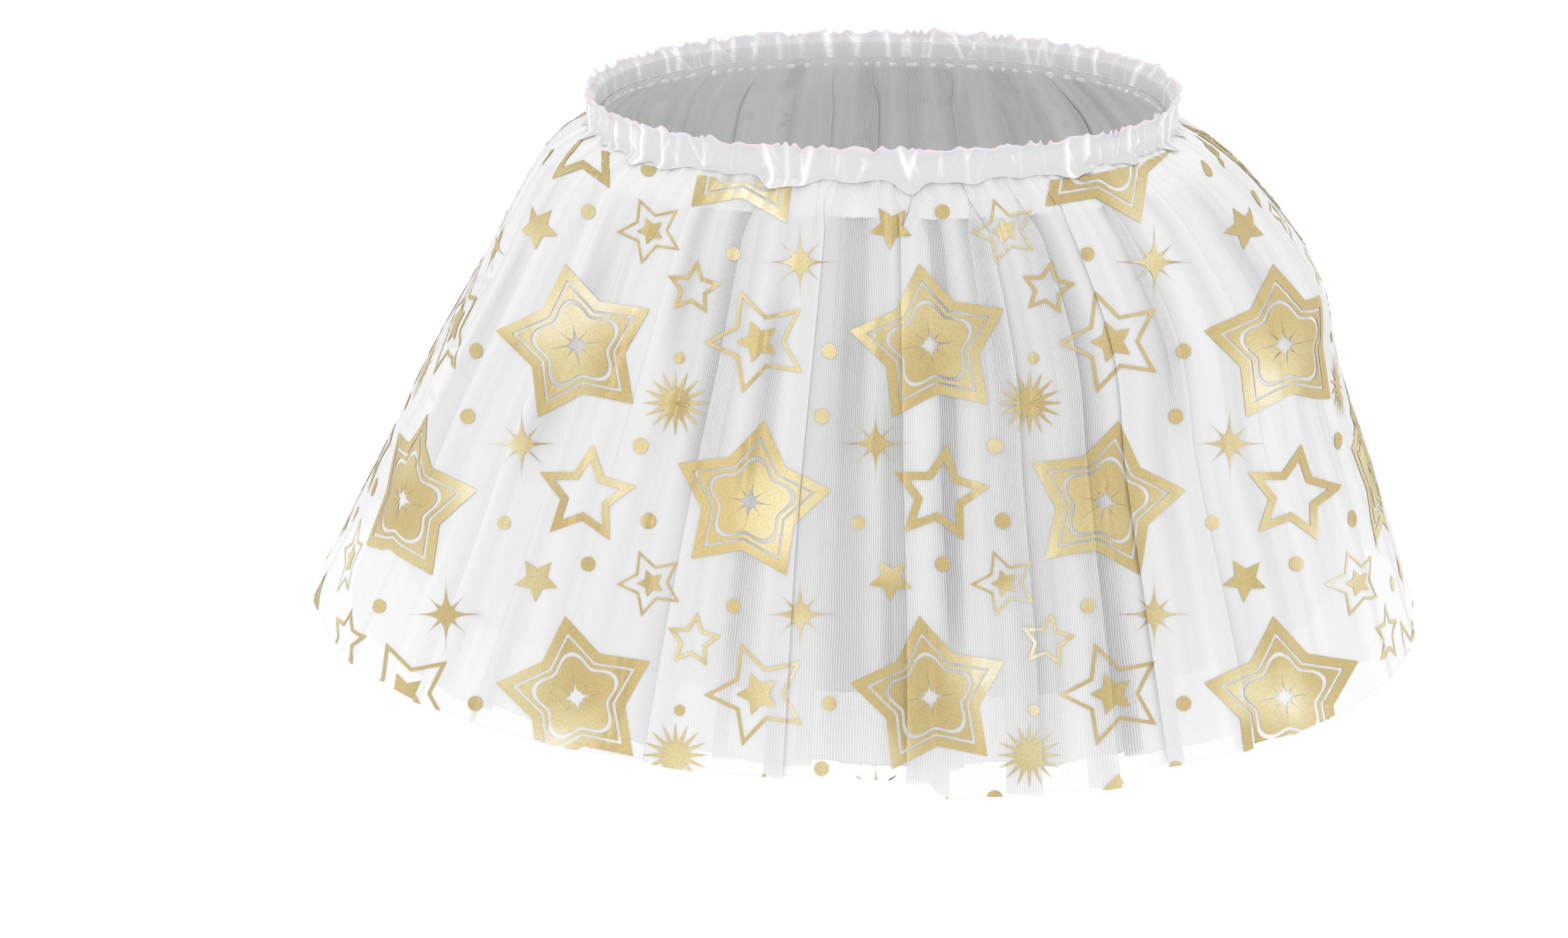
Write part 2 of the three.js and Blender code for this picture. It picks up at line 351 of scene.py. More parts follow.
# top and hem: how far a layer lies inside the outer one. fold: its depth at the hem.
# cut: where its hem is cut, as a share of the drop
LAYERS = {
    "outer": dict(top=0.0, hem=0.0, fold=3.7, cut=1.0, folds=15),
    "middle": dict(top=2.8, hem=21.0, fold=4.0, cut=1.0, folds=14),
    "inner": dict(top=4.3, hem=39.0, fold=4.0, cut=0.9, folds=13),
}
INSET_POWER = 0.6


def seed_of(layer, panel):
    """A number of its own for each panel of each layer, for all that is uneven in it."""
    return PANELS[panel]["seed"] + LAYERS[layer]["top"]


def uneven_folds(count, seed):
    """Folds in even places, each moved, turned and deepened by its own sine.

    They are smaller towards the side seams, where the skirt is drawn out sideways.
    """
    k = np.arange(count)
    at = (k + 0.5 + 0.2 * np.sin(2.4 * k + seed)) / count
    faces = np.where(np.sin(1.9 * k + 2.3 * seed) > -0.1, 1, -1)
    smaller = 0.1 + 0.9 * np.sin(np.pi * at) ** 0.7
    depth = (0.9 + 0.2 * np.sin(3.7 * k + 1.3 * seed)) * smaller
    lap = (0.014 + 0.006 * np.sin(5.3 * k + seed)) * smaller
    return table("at faces depth lap", *zip(at, faces, depth, lap))


def cloth_course(folds):
    """Knots of the cloth's way across a panel, with the distance travelled to each.

    Each fold adds the ten points of the section, moved to its place, widened by
    its lap, and turned over where the fold faces the other way.
    """
    fold = {name: column[:, None] for name, column in arrays_of(folds).items()}
    knots = dict(
        opened=fold["at"] + fold["lap"] * FOLD_SECTION["opened"],
        lapped=fold["at"] + fold["lap"] * FOLD_SECTION["lap"],
        height=fold["faces"] * fold["depth"] * FOLD_SECTION["depth"],
    )
    last = dict(opened=1, lapped=1, height=0)
    course = {key: np.concatenate([[0], knots[key].ravel(), [last[key]]]) for key in knots}
    sideways = np.diff(course["lapped"]) * PANEL_WIDTH
    outwards = np.diff(course["height"]) * LAYERS["outer"]["fold"]
    course["travel"] = running(np.hypot(sideways, outwards))
    return course


def folds_of(layer, panel):
    """The folds listed for the outer front, and uneven ones for the rest."""
    if (layer, panel) == ("outer", "front"):
        return FRONT_FOLDS
    return uneven_folds(LAYERS[layer]["folds"], seed_of(layer, panel))


COURSES = {
    (layer, panel): cloth_course(folds_of(layer, panel)) for layer in LAYERS for panel in PANELS
}
for (layer, panel), course in COURSES.items():
    print(layer, panel, "cloth is", round(course["travel"][-1]), "mm wide along its folds")

# %% [markdown]
# Smaller things lie on top of the folds. Under the band the net stands in fine
# gathers that open out on the way down. Soft creases, listed in a table, run down
# from the waist or up from the hem, each with its own length, width and depth.
# The raw hem waves a little. All of them only move the sheet in or out, so
# they are one sum, worked out for every point at once.
#
# Net is also gathered unevenly. Where it is crowded it reads as a smooth white, and
# where it is stretched thin it is sheer, with each thread to be seen. A second
# table places the thin streaks, and every point of a sheet carries the sum, for
# the material to read.

# %% Gathers, creases and the hem's wave
# top and hem: where the crease lies across the panel, from and to: where it starts
# and ends on the way down. width and out are in millimetres
CREASES = table(
    "top hem start end width out",
    (0.075, 0.085, 0.02, 0.75, 4.5, -1.5),
    (0.105, 0.112, 0.05, 1.2, 3.5, 1.2),
    (0.165, 0.176, 0.0, 0.55, 5.0, -1.6),
    (0.225, 0.229, 0.3, 1.2, 3.5, -1.2),
    (0.272, 0.276, 0.0, 0.8, 3.0, 1.1),
    (0.335, 0.339, 0.1, 1.2, 4.0, -1.7),
    (0.402, 0.399, 0.0, 0.62, 4.5, 1.5),
    (0.472, 0.478, 0.04, 1.2, 3.2, -1.2),
    (0.497, 0.49, 0.0, 0.5, 3.0, 1.4),
    (0.563, 0.566, 0.25, 1.2, 4.5, -1.5),
    (0.617, 0.619, 0.0, 0.7, 3.2, 1.3),
    (0.668, 0.665, 0.4, 1.2, 3.0, 1.0),
    (0.712, 0.714, 0.0, 0.85, 3.0, -1.2),
    (0.768, 0.773, 0.05, 1.2, 5.0, 1.5),
    (0.845, 0.842, 0.0, 0.6, 5.5, -1.7),
    (0.912, 0.911, 0.3, 1.2, 4.0, 1.2),
    (0.97, 0.968, 0.0, 0.9, 4.0, -1.2),
)
WAIST_GATHERS = 44
HEM_WAVES = 19
HEM_WAVE_DEPTH = 0.9
CREASE_RISE, THIN_RISE, LINE_FALL = 0.16, 0.2, 0.2

# Where the net is stretched thin: places as for a crease, width in millimetres, and thin
# from 0 to 1. The first is the wide, slightly thinner middle of the panel
THIN_PLACES = table(
    "top hem start end width thin",
    (0.52, 0.53, -0.3, 1.4, 200, 0.24),
    (0.225, 0.235, 0.02, 0.6, 13, 0.45),
    (0.315, 0.325, -0.2, 0.4, 11, 0.5),
    (0.36, 0.372, -0.2, 0.62, 13, 0.7),
    (0.408, 0.41, 0.12, 0.95, 9, 0.55),
    (0.473, 0.482, -0.2, 1.4, 15, 1.0),
    (0.508, 0.512, 0.25, 1.4, 10, 0.8),
    (0.55, 0.549, -0.2, 0.85, 9, 0.9),
    (0.587, 0.605, -0.2, 1.4, 13, 0.85),
    (0.645, 0.655, -0.1, 1.2, 14, 0.9),
    (0.735, 0.72, -0.2, 0.5, 11, 0.7),
    (0.845, 0.85, 0.0, 0.45, 15, 0.4),
    (0.115, 0.12, 0.1, 0.8, 16, 0.25),
)
HAND_SHIFT = 0.137


def waist_gathers(across, share):
    """Fine gathers: a coarse and a fine sine of uneven spacing, gone by a third of the way down."""
    place = across + 0.006 * np.sin(37 * across) + 0.004 * np.sin(71 * across + 1)
    coarse = 0.7 * np.sin(2 * np.pi * WAIST_GATHERS * place) * (1 - smooth(0.02, 0.3, share))
    fine = 0.3 * np.sin(2 * np.pi * 2.3 * WAIST_GATHERS * place) * (1 - smooth(0.0, 0.12, share))
    return (coarse + fine) * (0.75 + 0.25 * np.sin(53 * across))


def apart(place, other, whole):
    """How far place is from other, the shorter way round, on a whole of the given length."""
    return ((place - other + 0.5) % 1 - 0.5) * whole


def lines_down(rows, column, rise, across, share, shift):
    """The sum over a table's lines of the column times e^(-(distance / width)^2).

    Each line fades in over rise and out over LINE_FALL, both shares of the way down.
    """
    total = np.zeros(np.broadcast(across, share).shape)
    for row in rows:
        line = row["top"] + (row["hem"] - row["top"]) * share + shift
        distance = apart(across, line, PANEL_WIDTH)
        fades = window(share, row["start"], row["start"] + rise, row["end"] - LINE_FALL, row["end"])
        total += row[column] * fades * np.exp(-(distance / row["width"]) ** 2)
    return total


def hem_wave(across, share, seed):
    """A shallow wave that grows towards the hem with the fifth power of the way down."""
    wave = np.sin(2 * np.pi * HEM_WAVES * across + 3 * np.sin(9 * across + seed) + seed)
    return HEM_WAVE_DEPTH * wave * np.clip(share, 0, 1.1) ** 5


def shift_of(layer, panel):
    """How far the listed tables are moved across: not at all for the cloth that shows."""
    return 0.0 if (layer, panel) == ("outer", "front") else HAND_SHIFT * seed_of(layer, panel)


def in_or_out(layer, panel, across, share):
    """Everything that moves a sheet in or out besides its folds, in millimetres."""
    inside_panel = window(across, 0, 0.02, 0.98, 1)
    creases = lines_down(CREASES, "out", CREASE_RISE, across, share, shift_of(layer, panel))
    moved = creases + hem_wave(across, share, seed_of(layer, panel))
    return waist_gathers(across, share) + inside_panel * moved


def thinness(layer, panel, across, share):
    """How thin the net is, from 0 to 1."""
    shift = shift_of(layer, panel)
    return np.clip(lines_down(THIN_PLACES, "thin", THIN_RISE, across, share, shift), 0, 1)


# %% [markdown]
# Now any point of any layer has a formula. The layer's oval gives the place, the
# fold's height is added along the outward direction, and the way down gives
# the height. A sheet is a grid of such points all round the skirt, with more
# columns at the folds, where the cloth turns.

# %% A point of the net
LAPS_FROM, LAPS_FULL = 0.0, 0.1
LEAST_DEPTH = 0.9
WANDER = 0.0026
LOW_HEM = dict(start=0.53, end=0.652, edge=0.009, fade=0.02, lower=8)


def wander(panel, across, share):
    """Folds drift a little sideways on the way down, but not at the seams."""
    seed = PANELS[panel]["seed"]
    return WANDER * share * np.sin(np.pi * across) * np.sin(19 * across + 5 * share + seed)


def low_hem(layer, panel, across):
    """How far the hem hangs below the rest, between two places of the outer front."""
    if (layer, panel) != ("outer", "front"):
        return 0.0
    low = LOW_HEM
    return low["lower"] * window(across, low["start"], low["start"] + low["edge"],
                                 low["end"], low["end"] + low["fade"])


def net_point(layer, panel, across, share, height, lift=0.0):
    """Points of a layer in millimetres, as an array with x, y and z last.

    The oval at that share of the way down, moved in by the layer's inset, and
    out by height times the depth of the folds, the smaller forms and the lift.
    """
    rules = LAYERS[layer]
    way_down = np.clip(share, 0, None)
    inset = rules["top"] + (rules["hem"] - rules["top"]) * way_down ** INSET_POWER
    angle = angle_at(panel, across)
    x, y = plan_point(angle, way_down, inset)
    nx, ny = plan_normal(angle, way_down)
    laps = smooth(LAPS_FROM, LAPS_FULL, share)
    depth = rules["fold"] * way_down + LEAST_DEPTH * laps * np.clip(1 - share, 0, 1)
    out = height * depth + in_or_out(layer, panel, across, share) + lift
    z = NET_TOP + share * (hem_height(angle) - low_hem(layer, panel, across) - NET_TOP)
    return stacked(x + nx * out, y + ny * out, z)


WIDE_STEP = 3.0
LEAST_PARTS = 2


def columns_of(course):
    """Places along the cloth: every 3 mm where it runs flat, and closer at the folds."""
    needed = running(np.maximum(np.diff(course["travel"]) / WIDE_STEP, LEAST_PARTS))
    return np.interp(np.arange(0, needed[-1] - 0.5), needed, course["travel"])


def sheet_grid(layer, shares, lift=0.0):
    """A layer's grid all round: rows at the given shares, the front panel and then the back."""
    grids, widths, thin = [], [], []
    for panel in PANELS:
        course = COURSES[layer, panel]
        travelled = columns_of(course)
        opened, lapped, height = (curve_through(course["travel"], course[key], travelled)
                                  for key in ("opened", "lapped", "height"))
        laps = smooth(LAPS_FROM, LAPS_FULL, shares)[:, None]
        across = np.clip(opened * (1 - laps) + lapped * laps, 0, 1)
        across = across + wander(panel, across, shares[:, None])
        grids.append(net_point(layer, panel, across, shares[:, None], height, lift))
        widths.append(travelled)
        thin.append(thinness(layer, panel, across, shares[:, None]))
    return grids, widths, thin


NET_ROWS = 50
NET_START = -0.014
FRAY = 0.5
CLOTH_LENGTH = 330.0


def net_sheet(name, layer, shares, lift=0.0):
    """A layer, or its top, as one sheet that knows how far each point is from its edges."""
    grids, widths, thin = sheet_grid(layer, shares, lift)
    points = np.concatenate(grids, axis=1)
    rows, columns = points.shape[:2]
    rng = np.random.default_rng(rows + columns)
    points[-1, :, 2] += rng.uniform(-FRAY, FRAY, columns)
    across = np.concatenate([widths[0], widths[1] + COURSES[layer, "front"]["travel"][-1]])
    down = shares[:, None] * CLOTH_LENGTH
    values = {
        "from_hem": (shares[-1] - shares)[:, None] * CLOTH_LENGTH,
        "from_waist": down,
        "from_seam": np.concatenate([np.minimum(width, width[-1] - width) for width in widths]),
        "thin": np.concatenate(thin, axis=1),
    }
    piece = closed_sheet(name, points, across, down, values)
    hem = np.linalg.norm(np.diff(points[-1], axis=0, append=points[-1, :1]), axis=-1).sum()
    print(name, rows, "x", columns, "points, hem", round(hem), "mm round")
    return piece


# %% The three layers of net
net = {}
for layer, rules in LAYERS.items():
    net[layer] = net_sheet(f"net_{layer}", layer, np.linspace(NET_START, rules["cut"], NET_ROWS))

# %% [markdown]
# Just under the band the real net is doubled over: a whiter strip, sewn in with
# the outer layer and lying right behind it. It takes the outer layer's formula,
# moved in by its lift, so the two can't cross.

# %% The heading strip
HEADING_END = 0.064
HEADING_LIFT = -1.4
HEADING_ROWS = 10
heading_shares = np.linspace(NET_START, HEADING_END, HEADING_ROWS)
heading = net_sheet("net_heading", "outer", heading_shares, HEADING_LIFT)

# %% [markdown]
# The waistband is one strip of satin. It starts inside, over the raw tops of the
# net, runs up, turns over in a ruffle, and comes down outside to a loose
# uneven edge. Elastic inside gathers it, and satin that is gathered so
# lies in smooth pockets between narrow ridges. The strip is a section carried
# round the waist: the table holds the section, and each point moves in and out
# with the gathers. A plain sine would make them all alike, so each ridge
# has its own place, height, width and lean, drawn from a seeded generator,
# and the lower edge hangs down where a ridge ends.

# %% The waistband
# out: from the net's middle surface. wave and lift: how far the gathers move the point.
# scallop: its share of the uneven lower edge. frill: how far the small ruffle moves it
BAND_SECTION = arrays_of(table(
    "out height wave lift scallop frill",
    (-5.3, -10.4, 0.3, 0.3, 0, 0),
    (-4.4, -7.6, 0.3, 0, 0, 0),
    (-2.4, -4.6, 0.3, 0, 0, 0),
    (-1.8, 0, 0.4, 0, 0, 0),
    (-1.4, 4.4, 0.4, 0, 0, 0.1),
    (0.9, 7.6, 0.9, 0.4, 0, 0.4),
    (2.3, 9.8, 1.2, 0.7, 0, 0.9),
    (3.1, 10.3, 1.3, 0.7, 0, 1.0),
    (3.7, 9.5, 1.3, 0.7, 0, 0.9),
    (2.9, 7.3, 1.1, 0.2, 0, 0.5),
    (2.4, 5.2, 1.0, 0, 0, 0.2),
    (2.7, 3.1, 1.0, 0, 0, 0),
    (2.9, 0.2, 1.1, 0, 0, 0),
    (2.8, -3.0, 1.0, 0, 0.05, 0),
    (2.5, -5.8, 0.9, 0, 0.2, 0),
    (2.4, -7.8, 1.0, 0.1, 0.6, 0),
    (2.3, -9.4, 0.9, 0.3, 1.0, 0),
))
BAND_WALKED = running(np.hypot(np.diff(BAND_SECTION["out"]), np.diff(BAND_SECTION["height"])))
BAND_WIDTH = BAND_WALKED[-1]
RUFFLE_TOP = BAND_WALKED[7]
GATHERS = 72
SMALL_CREASES = 105
WAIST_ROUND = 920.0
BAND_HEIGHT = 20.0
SCALLOP_DEPTH = 2.0
LOBE_WIDTH = 6.5
FRILLS = 104
COARSE_FRILLS = 41
FRILL_REACH = 1.3
RIDGE_MEAN = 0.8
LOBE_MEAN = 1.1
RIDGE_SEED = 11
# How uneven the places of the ridges are, in turns of a gather, and how finely they are sought
RIDGE_DRIFT = (0.25, 0.12, 0.085)
RIDGE_STEPS = 4000

# What the ridges are drawn from: wide in millimetres, the spread of lean, and where they
# start and end in millimetres below the ruffle's top
LARGE = dict(wide=(1.0, 2.1), lean=0.18, start=(-3, 1), end=(17, 34))
SMALL = dict(wide=(0.7, 1.2), lean=0.45, start=(-2, 10), end=(9, 24))


def uneven(turn, amounts):
    """How far a repeat has run ahead of even spacing: three sines, in turns of the repeat."""
    slow, middle, fast = amounts
    angle = 2 * np.pi * turn
    return slow * np.sin(5 * angle + 1) + middle * np.sin(13 * angle) + fast * np.sin(31 * angle + 2)


def drawn(rng, kind, place, high):
    """Ridges at the places and of the heights given, and the rest of them drawn for their kind."""
    count = len(place)
    return dict(
        place=place, high=high, wide=rng.uniform(*kind["wide"], count),
        lean=rng.normal(0, kind["lean"], count), start=rng.uniform(*kind["start"], count),
        end=rng.uniform(*kind["end"], count),
    )


def scattered_ridges():
    """Ridges of the gathered satin: one at each wave of the solid, and small creases between.

    place is in turns, high has no unit, wide is in millimetres, and lean is how many
    millimetres the ridge goes sideways for each that it comes down.
    """
    rng = np.random.default_rng(RIDGE_SEED)
    turn = np.linspace(-0.05, 1.05, RIDGE_STEPS + 1)
    waves = GATHERS * turn + uneven(turn, RIDGE_DRIFT) - 0.25
    large = drawn(rng, LARGE, np.interp(np.arange(GATHERS), waves, turn),
                  0.5 + 1.7 * rng.random(GATHERS) ** 1.4)
    small = drawn(rng, SMALL, (np.arange(SMALL_CREASES) + rng.random(SMALL_CREASES)) / SMALL_CREASES,
                  rng.uniform(0.35, 1.1, SMALL_CREASES))
    return large, {key: np.concatenate([large[key], small[key]]) for key in large}


LARGE_RIDGES, ALL_RIDGES = scattered_ridges()


def ridges(turn, walked):
    """The satin's relief, with the pockets below 0: the sum of high / (1 + (distance / wide)^2).

    The distance is from the ridge's leaning line, and a ridge fades in and out at its ends.
    """
    each = ALL_RIDGES
    below_top = (walked - RUFFLE_TOP)[..., None]
    line = each["place"] + each["lean"] * below_top / WAIST_ROUND
    distance = apart(turn[..., None], line, WAIST_ROUND)
    start, end = each["start"], each["end"]
    fades = window(np.abs(below_top), start - 3, start + 1, end - 5, end)
    return (each["high"] * fades / (1 + (distance / each["wide"]) ** 2)).sum(-1) - RIDGE_MEAN


def lobes(turn):
    """The lower edge hangs lower at a ridge: the sum of high times e^(-(distance / 6.5)^2)."""
    foot = LARGE_RIDGES["place"] + LARGE_RIDGES["lean"] * BAND_HEIGHT / WAIST_ROUND
    distance = apart(turn[..., None], foot, WAIST_ROUND)
    drops = LARGE_RIDGES["high"] * np.exp(-(distance / LOBE_WIDTH) ** 2)
    return 1.2 * drops.sum(-1) - LOBE_MEAN


def frills(turn, quarter):
    """The small ruffle of the top edge: a fine and a coarse sine, both of uneven spacing."""
    place = FRILLS * turn + 0.8 * np.sin(34 * np.pi * turn) + 0.3 * np.sin(86 * np.pi * turn) + quarter
    fine = (0.6 + 0.4 * np.sin(46 * np.pi * turn)) * np.sin(2 * np.pi * place)
    coarse = np.sin(2 * np.pi * (COARSE_FRILLS * turn + quarter) + 2.5 * np.sin(22 * np.pi * turn))
    return fine + 0.6 * coarse


def band_point(turn, walked, lift=0.0):
    """A point of the satin strip: turn is round the waist, walked is across the strip in mm.

    The section gives the place, the ridges move it in and out, and the scallops
    and the small ruffle move it up and down.
    """
    angle = 2 * np.pi * turn
    row = {name: curve_through(BAND_WALKED, column, walked) for name, column in BAND_SECTION.items()}
    wave = ridges(turn, walked)
    height = row["height"] + row["lift"] * wave - SCALLOP_DEPTH * row["scallop"] * lobes(turn)
    height = height + FRILL_REACH * row["frill"] * frills(turn, 0.0)
    share = np.clip(NET_TOP - height, 0, None) / DROP
    x, y = plan_point(angle, share)
    nx, ny = plan_normal(angle, share)
    out = row["out"] + row["wave"] * wave + FRILL_REACH * row["frill"] * frills(turn, 0.25) + lift
    return stacked(x + nx * out, y + ny * out, height)


COLUMNS_TO_A_GATHER = 26
BAND_COLUMNS = GATHERS * COLUMNS_TO_A_GATHER
BAND_ROWS = 48
SATIN_LENGTH = 1200.0
SATIN_FULLNESS = 1.3
turn = np.arange(BAND_COLUMNS)[None, :] / BAND_COLUMNS
walked = np.linspace(0, BAND_WIDTH, BAND_ROWS)[:, None]
waistband = closed_sheet(
    "satin_band", band_point(turn, walked), turn * SATIN_LENGTH, walked,
    {"from_ruffle": np.abs(walked - RUFFLE_TOP), "ridge": ridges(turn, walked)},
)
print("satin strip", round(BAND_WIDTH, 1), "mm wide,", len(waistband.data.polygons), "quads")

# %% [markdown]
# The outside of the band shows no sewing, but inside two rows of small stitches
# hold the elastic in its place. One stitch is a short tube of five sides that
# sinks into the satin at both ends. All of them are worked out together: an
# array of rows by stitches by rings by sides.

# %% Stitches
STITCH_PITCH = 3.1
STITCH_LENGTH = 2.3
THREAD_RADIUS = 0.19
STITCH_SIDES = 5
STITCH_RINGS = np.array([
    # along the stitch, thickness, height over the satin
    (0.0, 0.0, -0.15),
    (0.06, 0.8, 0.02),
    (0.3, 1.0, 0.2),
    (0.7, 1.0, 0.2),
    (0.94, 0.8, 0.02),
    (1.0, 0.0, -0.15),
])


def rows_of_stitches(name, rows):
    """Rows of stitches on the inside of the band, where the given rows of its section are.

    Ring centres lie on the strip, lifted off it inwards. Sides stand round each
    centre, by the cosine outwards and the sine upwards, times the thread's radius.
    """
    count = int(SATIN_LENGTH / SATIN_FULLNESS / STITCH_PITCH)
    walked = BAND_WALKED[rows][:, None, None]
    along = STITCH_RINGS[:, 0] * STITCH_LENGTH / STITCH_PITCH
    turn = (np.arange(count)[None, :, None] + along) / count
    centre = band_point(turn, walked, -STITCH_RINGS[:, 2])
    outwards = stacked(*plan_normal(2 * np.pi * turn, 0.0), 0.0)
    side = 2 * np.pi * np.arange(STITCH_SIDES) / STITCH_SIDES
    radius = (THREAD_RADIUS * STITCH_RINGS[:, 1])[None, None, :, None, None]
    ring = np.cos(side)[:, None] * outwards[..., None, :] + np.sin(side)[:, None] * np.array([0, 0, 1])
    points = centre[..., None, :] + radius * ring
    rings = len(STITCH_RINGS)
    stitches = len(rows) * count
    firsts = np.arange(stitches)[:, None, None] * rings * STITCH_SIDES
    faces = (grid_faces(rings, STITCH_SIDES)[None] + firsts).reshape(-1, 4)
    piece = make_piece(name, points.reshape(-1, 3), faces)
    print(name, stitches, "stitches,", len(faces), "quads")
    return piece


stitching = rows_of_stitches("band_stitches", [2, 4])

# %% [markdown]
# The camera comes before the print, because the print is laid out as it is seen
# from there. The eye stands 2.3 m from the middle of the waist and 15 degrees above
# it, as a photographer's does with a standing model. It is turned down a little
# further, so that the whole skirt is in the picture.

# %% Camera
EYE_DISTANCE = 2300.0
EYE_ELEVATION = math.radians(15)
LOOKS_DOWN = math.radians(20.0916)
LOOKS_ASIDE = math.radians(1.458)
LENS = 94.09

eye = EYE_DISTANCE * np.array([0, -math.cos(EYE_ELEVATION), math.sin(EYE_ELEVATION)])
camera_data = bpy.data.cameras.new("camera")
camera_data.lens = LENS
camera_data.sensor_width = 36
camera_data.dof.use_dof = False
camera = new_object("camera", camera_data)
camera.location = (eye * MM).tolist()
camera.rotation_euler = (math.pi / 2 - LOOKS_DOWN, 0, LOOKS_ASIDE)
bpy.context.scene.camera = camera
print("camera at", [round(x, 3) for x in camera.location], "with a", LENS, "mm lens")

# %% [markdown]
# The print is a repeat of stars, sparkles and dots in gold foil, about 18 cm to
# a repeat. It could be drawn in the cloth's material, but edges this sharp
# and tips this fine are better as thin meshes, laid on the outer net.
#
# Every motif can be told by one function: how far its edge is from its centre in
# each direction. A star's edge is a straight line between a tip and a notch, a
# sparkle's is a curve that dips deeply between its arms, and a dot's is a constant.
# A motif is one or more bands between two such edges, cut into small faces
# so that they follow the folds. The largest motif is a plain star with two lines
# and a sparkle left open in it.

# %% Edges of the motifs
def star(direction, points=5, notch=0.5):
    """Distance to the edge of a star whose tips are at 1 and notches at notch.

    The straight line from tip to notch: notch sin(half) / (sin(a) + notch sin(half - a)),
    where a is the angle from the nearest tip and half is half the angle between tips.
    """
    half = np.pi / points
    a = np.abs((direction + half) % (2 * half) - half)
    return notch * np.sin(half) / (np.sin(a) + notch * np.sin(half - a))


def astroid(direction):
    """Distance to a curve that dips between four tips: (|cos|^0.37 + |sin|^0.37)^(-1/0.37)."""
    p = 0.37
    return (np.abs(np.cos(direction)) ** p + np.abs(np.sin(direction)) ** p) ** (-1 / p)


# A burst has sixteen thin rays. A sparkle has four long arms, and four shorter ones
# between them. A rosette has five round lobes and is 1 at their tips
EDGES = {
    "star": star,
    "blunt_star": lambda direction: star(direction, notch=0.6),
    "sharp_star": lambda direction: star(direction, notch=0.47),
    "burst": lambda direction: star(direction, points=16, notch=0.37),
    "sparkle": lambda direction: np.maximum(astroid(direction), 0.77 * astroid(direction + np.pi / 4)),
    "rosette": lambda direction: (1 + 0.16 * np.cos(5 * direction)) / 1.16,
    "circle": lambda direction: np.ones_like(direction),
}


def directions(outline):
    """Directions at which an edge is read: even ones, or closer together towards thin tips.

    outline is their number, or a tuple of the tips and the steps between them. The
    steps grow away from a tip with the power 1.9.
    """
    if isinstance(outline, int):
        return np.arange(outline) * 2 * np.pi / outline
    tips, steps = outline
    offsets = np.pi / tips * (np.arange(1, steps + 1) / steps) ** 1.9
    around = np.concatenate([-offsets[-2::-1], [0], offsets])
    return (directions(tips)[:, None] + around).ravel()


# %% Motifs
# Each band of a motif goes from an inner edge to an outer one, each times a size, and is
# cut into rings, in the directions of its outline
BANDS = table(
    "motif inner a outer b rings outline",
    ("medallion", "sparkle", 0.33, "rosette", 0.5, 5, (8, 7)),
    ("medallion", "rosette", 0.56, "blunt_star", 0.74, 4, 160),
    ("medallion", "blunt_star", 0.8, "blunt_star", 1.0, 3, 160),
    ("open_star", "star", 0.676, "star", 1.0, 3, 120),
    ("small_open_star", "star", 0.74, "star", 1.0, 2, 80),
    ("star", "circle", 0.0, "sharp_star", 1.0, 4, 60),
    ("double_star", "star", 0.865, "star", 1.0, 2, 140),
    ("double_star", "circle", 0.0, "star", 0.406, 4, 60),
    ("sparkle", "circle", 0.0, "sparkle", 1.0, 6, (8, 8)),
    ("burst", "circle", 0.0, "burst", 1.0, 5, (16, 5)),
    ("dot", "circle", 0.0, "circle", 1.0, 2, 28),
)

# One repeat: places and sizes in millimetres from the middle of the first medallion,
# as seen by the eye, and the angle of a tip in degrees
REPEAT = (181.6, 180.6)
PLACES = table(
    "motif x y size tip",
    ("medallion", 0.0, 0.0, 42, 98),
    ("medallion", 89.2, -80.3, 42, 80),
    ("open_star", 4.8, -76.9, 26.4, 81.8),
    ("double_star", 93.1, 1.7, 27.8, 109.1),
    ("double_star", 38.1, 58.5, 17.7, 110),
    ("small_open_star", 60.0, 29.0, 14.6, 81.7),
    ("star", -20.3, 60.3, 11.6, -94),
    ("sparkle", 114.7, 42.5, 20.3, 0),
    ("sparkle", -28.1, -50.6, 20.1, 0),
    ("burst", 50.7, -29.7, 17.0, 0),
    ("dot", 80.5, 46.7, 3.5, 0),
    ("dot", 52.9, -6.7, 2.8, 0),
    ("dot", 32.9, -51.7, 4.0, 0),
    ("dot", 37.0, -90.2, 4.0, 0),
    ("dot", 6.0, 68.3, 3.7, 0),
    ("dot", -51.8, -3.2, 3.8, 0),
    ("dot", -55.8, -36.6, 3.8, 0),
    ("dot", -37.0, -91.2, 3.4, 0),
)


def motif_mesh(motif, size, tip):
    """Flat points and triangles of one motif about its own centre."""
    parts = []
    for band in [band for band in BANDS if band["motif"] == motif]:
        direction = directions(band["outline"])
        inner = band["a"] * EDGES[band["inner"]](direction)
        outer = band["b"] * EDGES[band["outer"]](direction)
        ring = np.linspace(0, 1, band["rings"] + 1)[:, None]
        reach = size * (inner + (outer - inner) * ring)
        turned = direction + math.radians(tip)
        flat = stacked(reach * np.cos(turned), reach * np.sin(turned)).reshape(-1, 2)
        quads = grid_faces(band["rings"] + 1, direction.size)
        parts.append((flat, np.concatenate([quads[:, [0, 1, 2]], quads[:, [0, 2, 3]]])))
    return joined(parts)


for motif in dict.fromkeys(band["motif"] for band in BANDS):
    print("a", motif, "has", len(motif_mesh(motif, 1, 0)[1]), "triangles")

# %% [markdown]
# The flat repeat now has to lie on the skirt. Seen from the front, real foil on this
# net shows its stars whole, so the layout is taken from what the eye sees
# over most of a panel. Towards the side seams, where the skirt turns away,
# it goes over to the true distance round the skirt, so that no motif is
# smeared. The back panel is laid out the same way, seen from behind.
#
# That gives the print's own x and y for each place of the panel, as a chart. Laying
# a motif on the cloth is the reverse: Newton's steps find the place that has the
# wanted x and y, for all points at once.

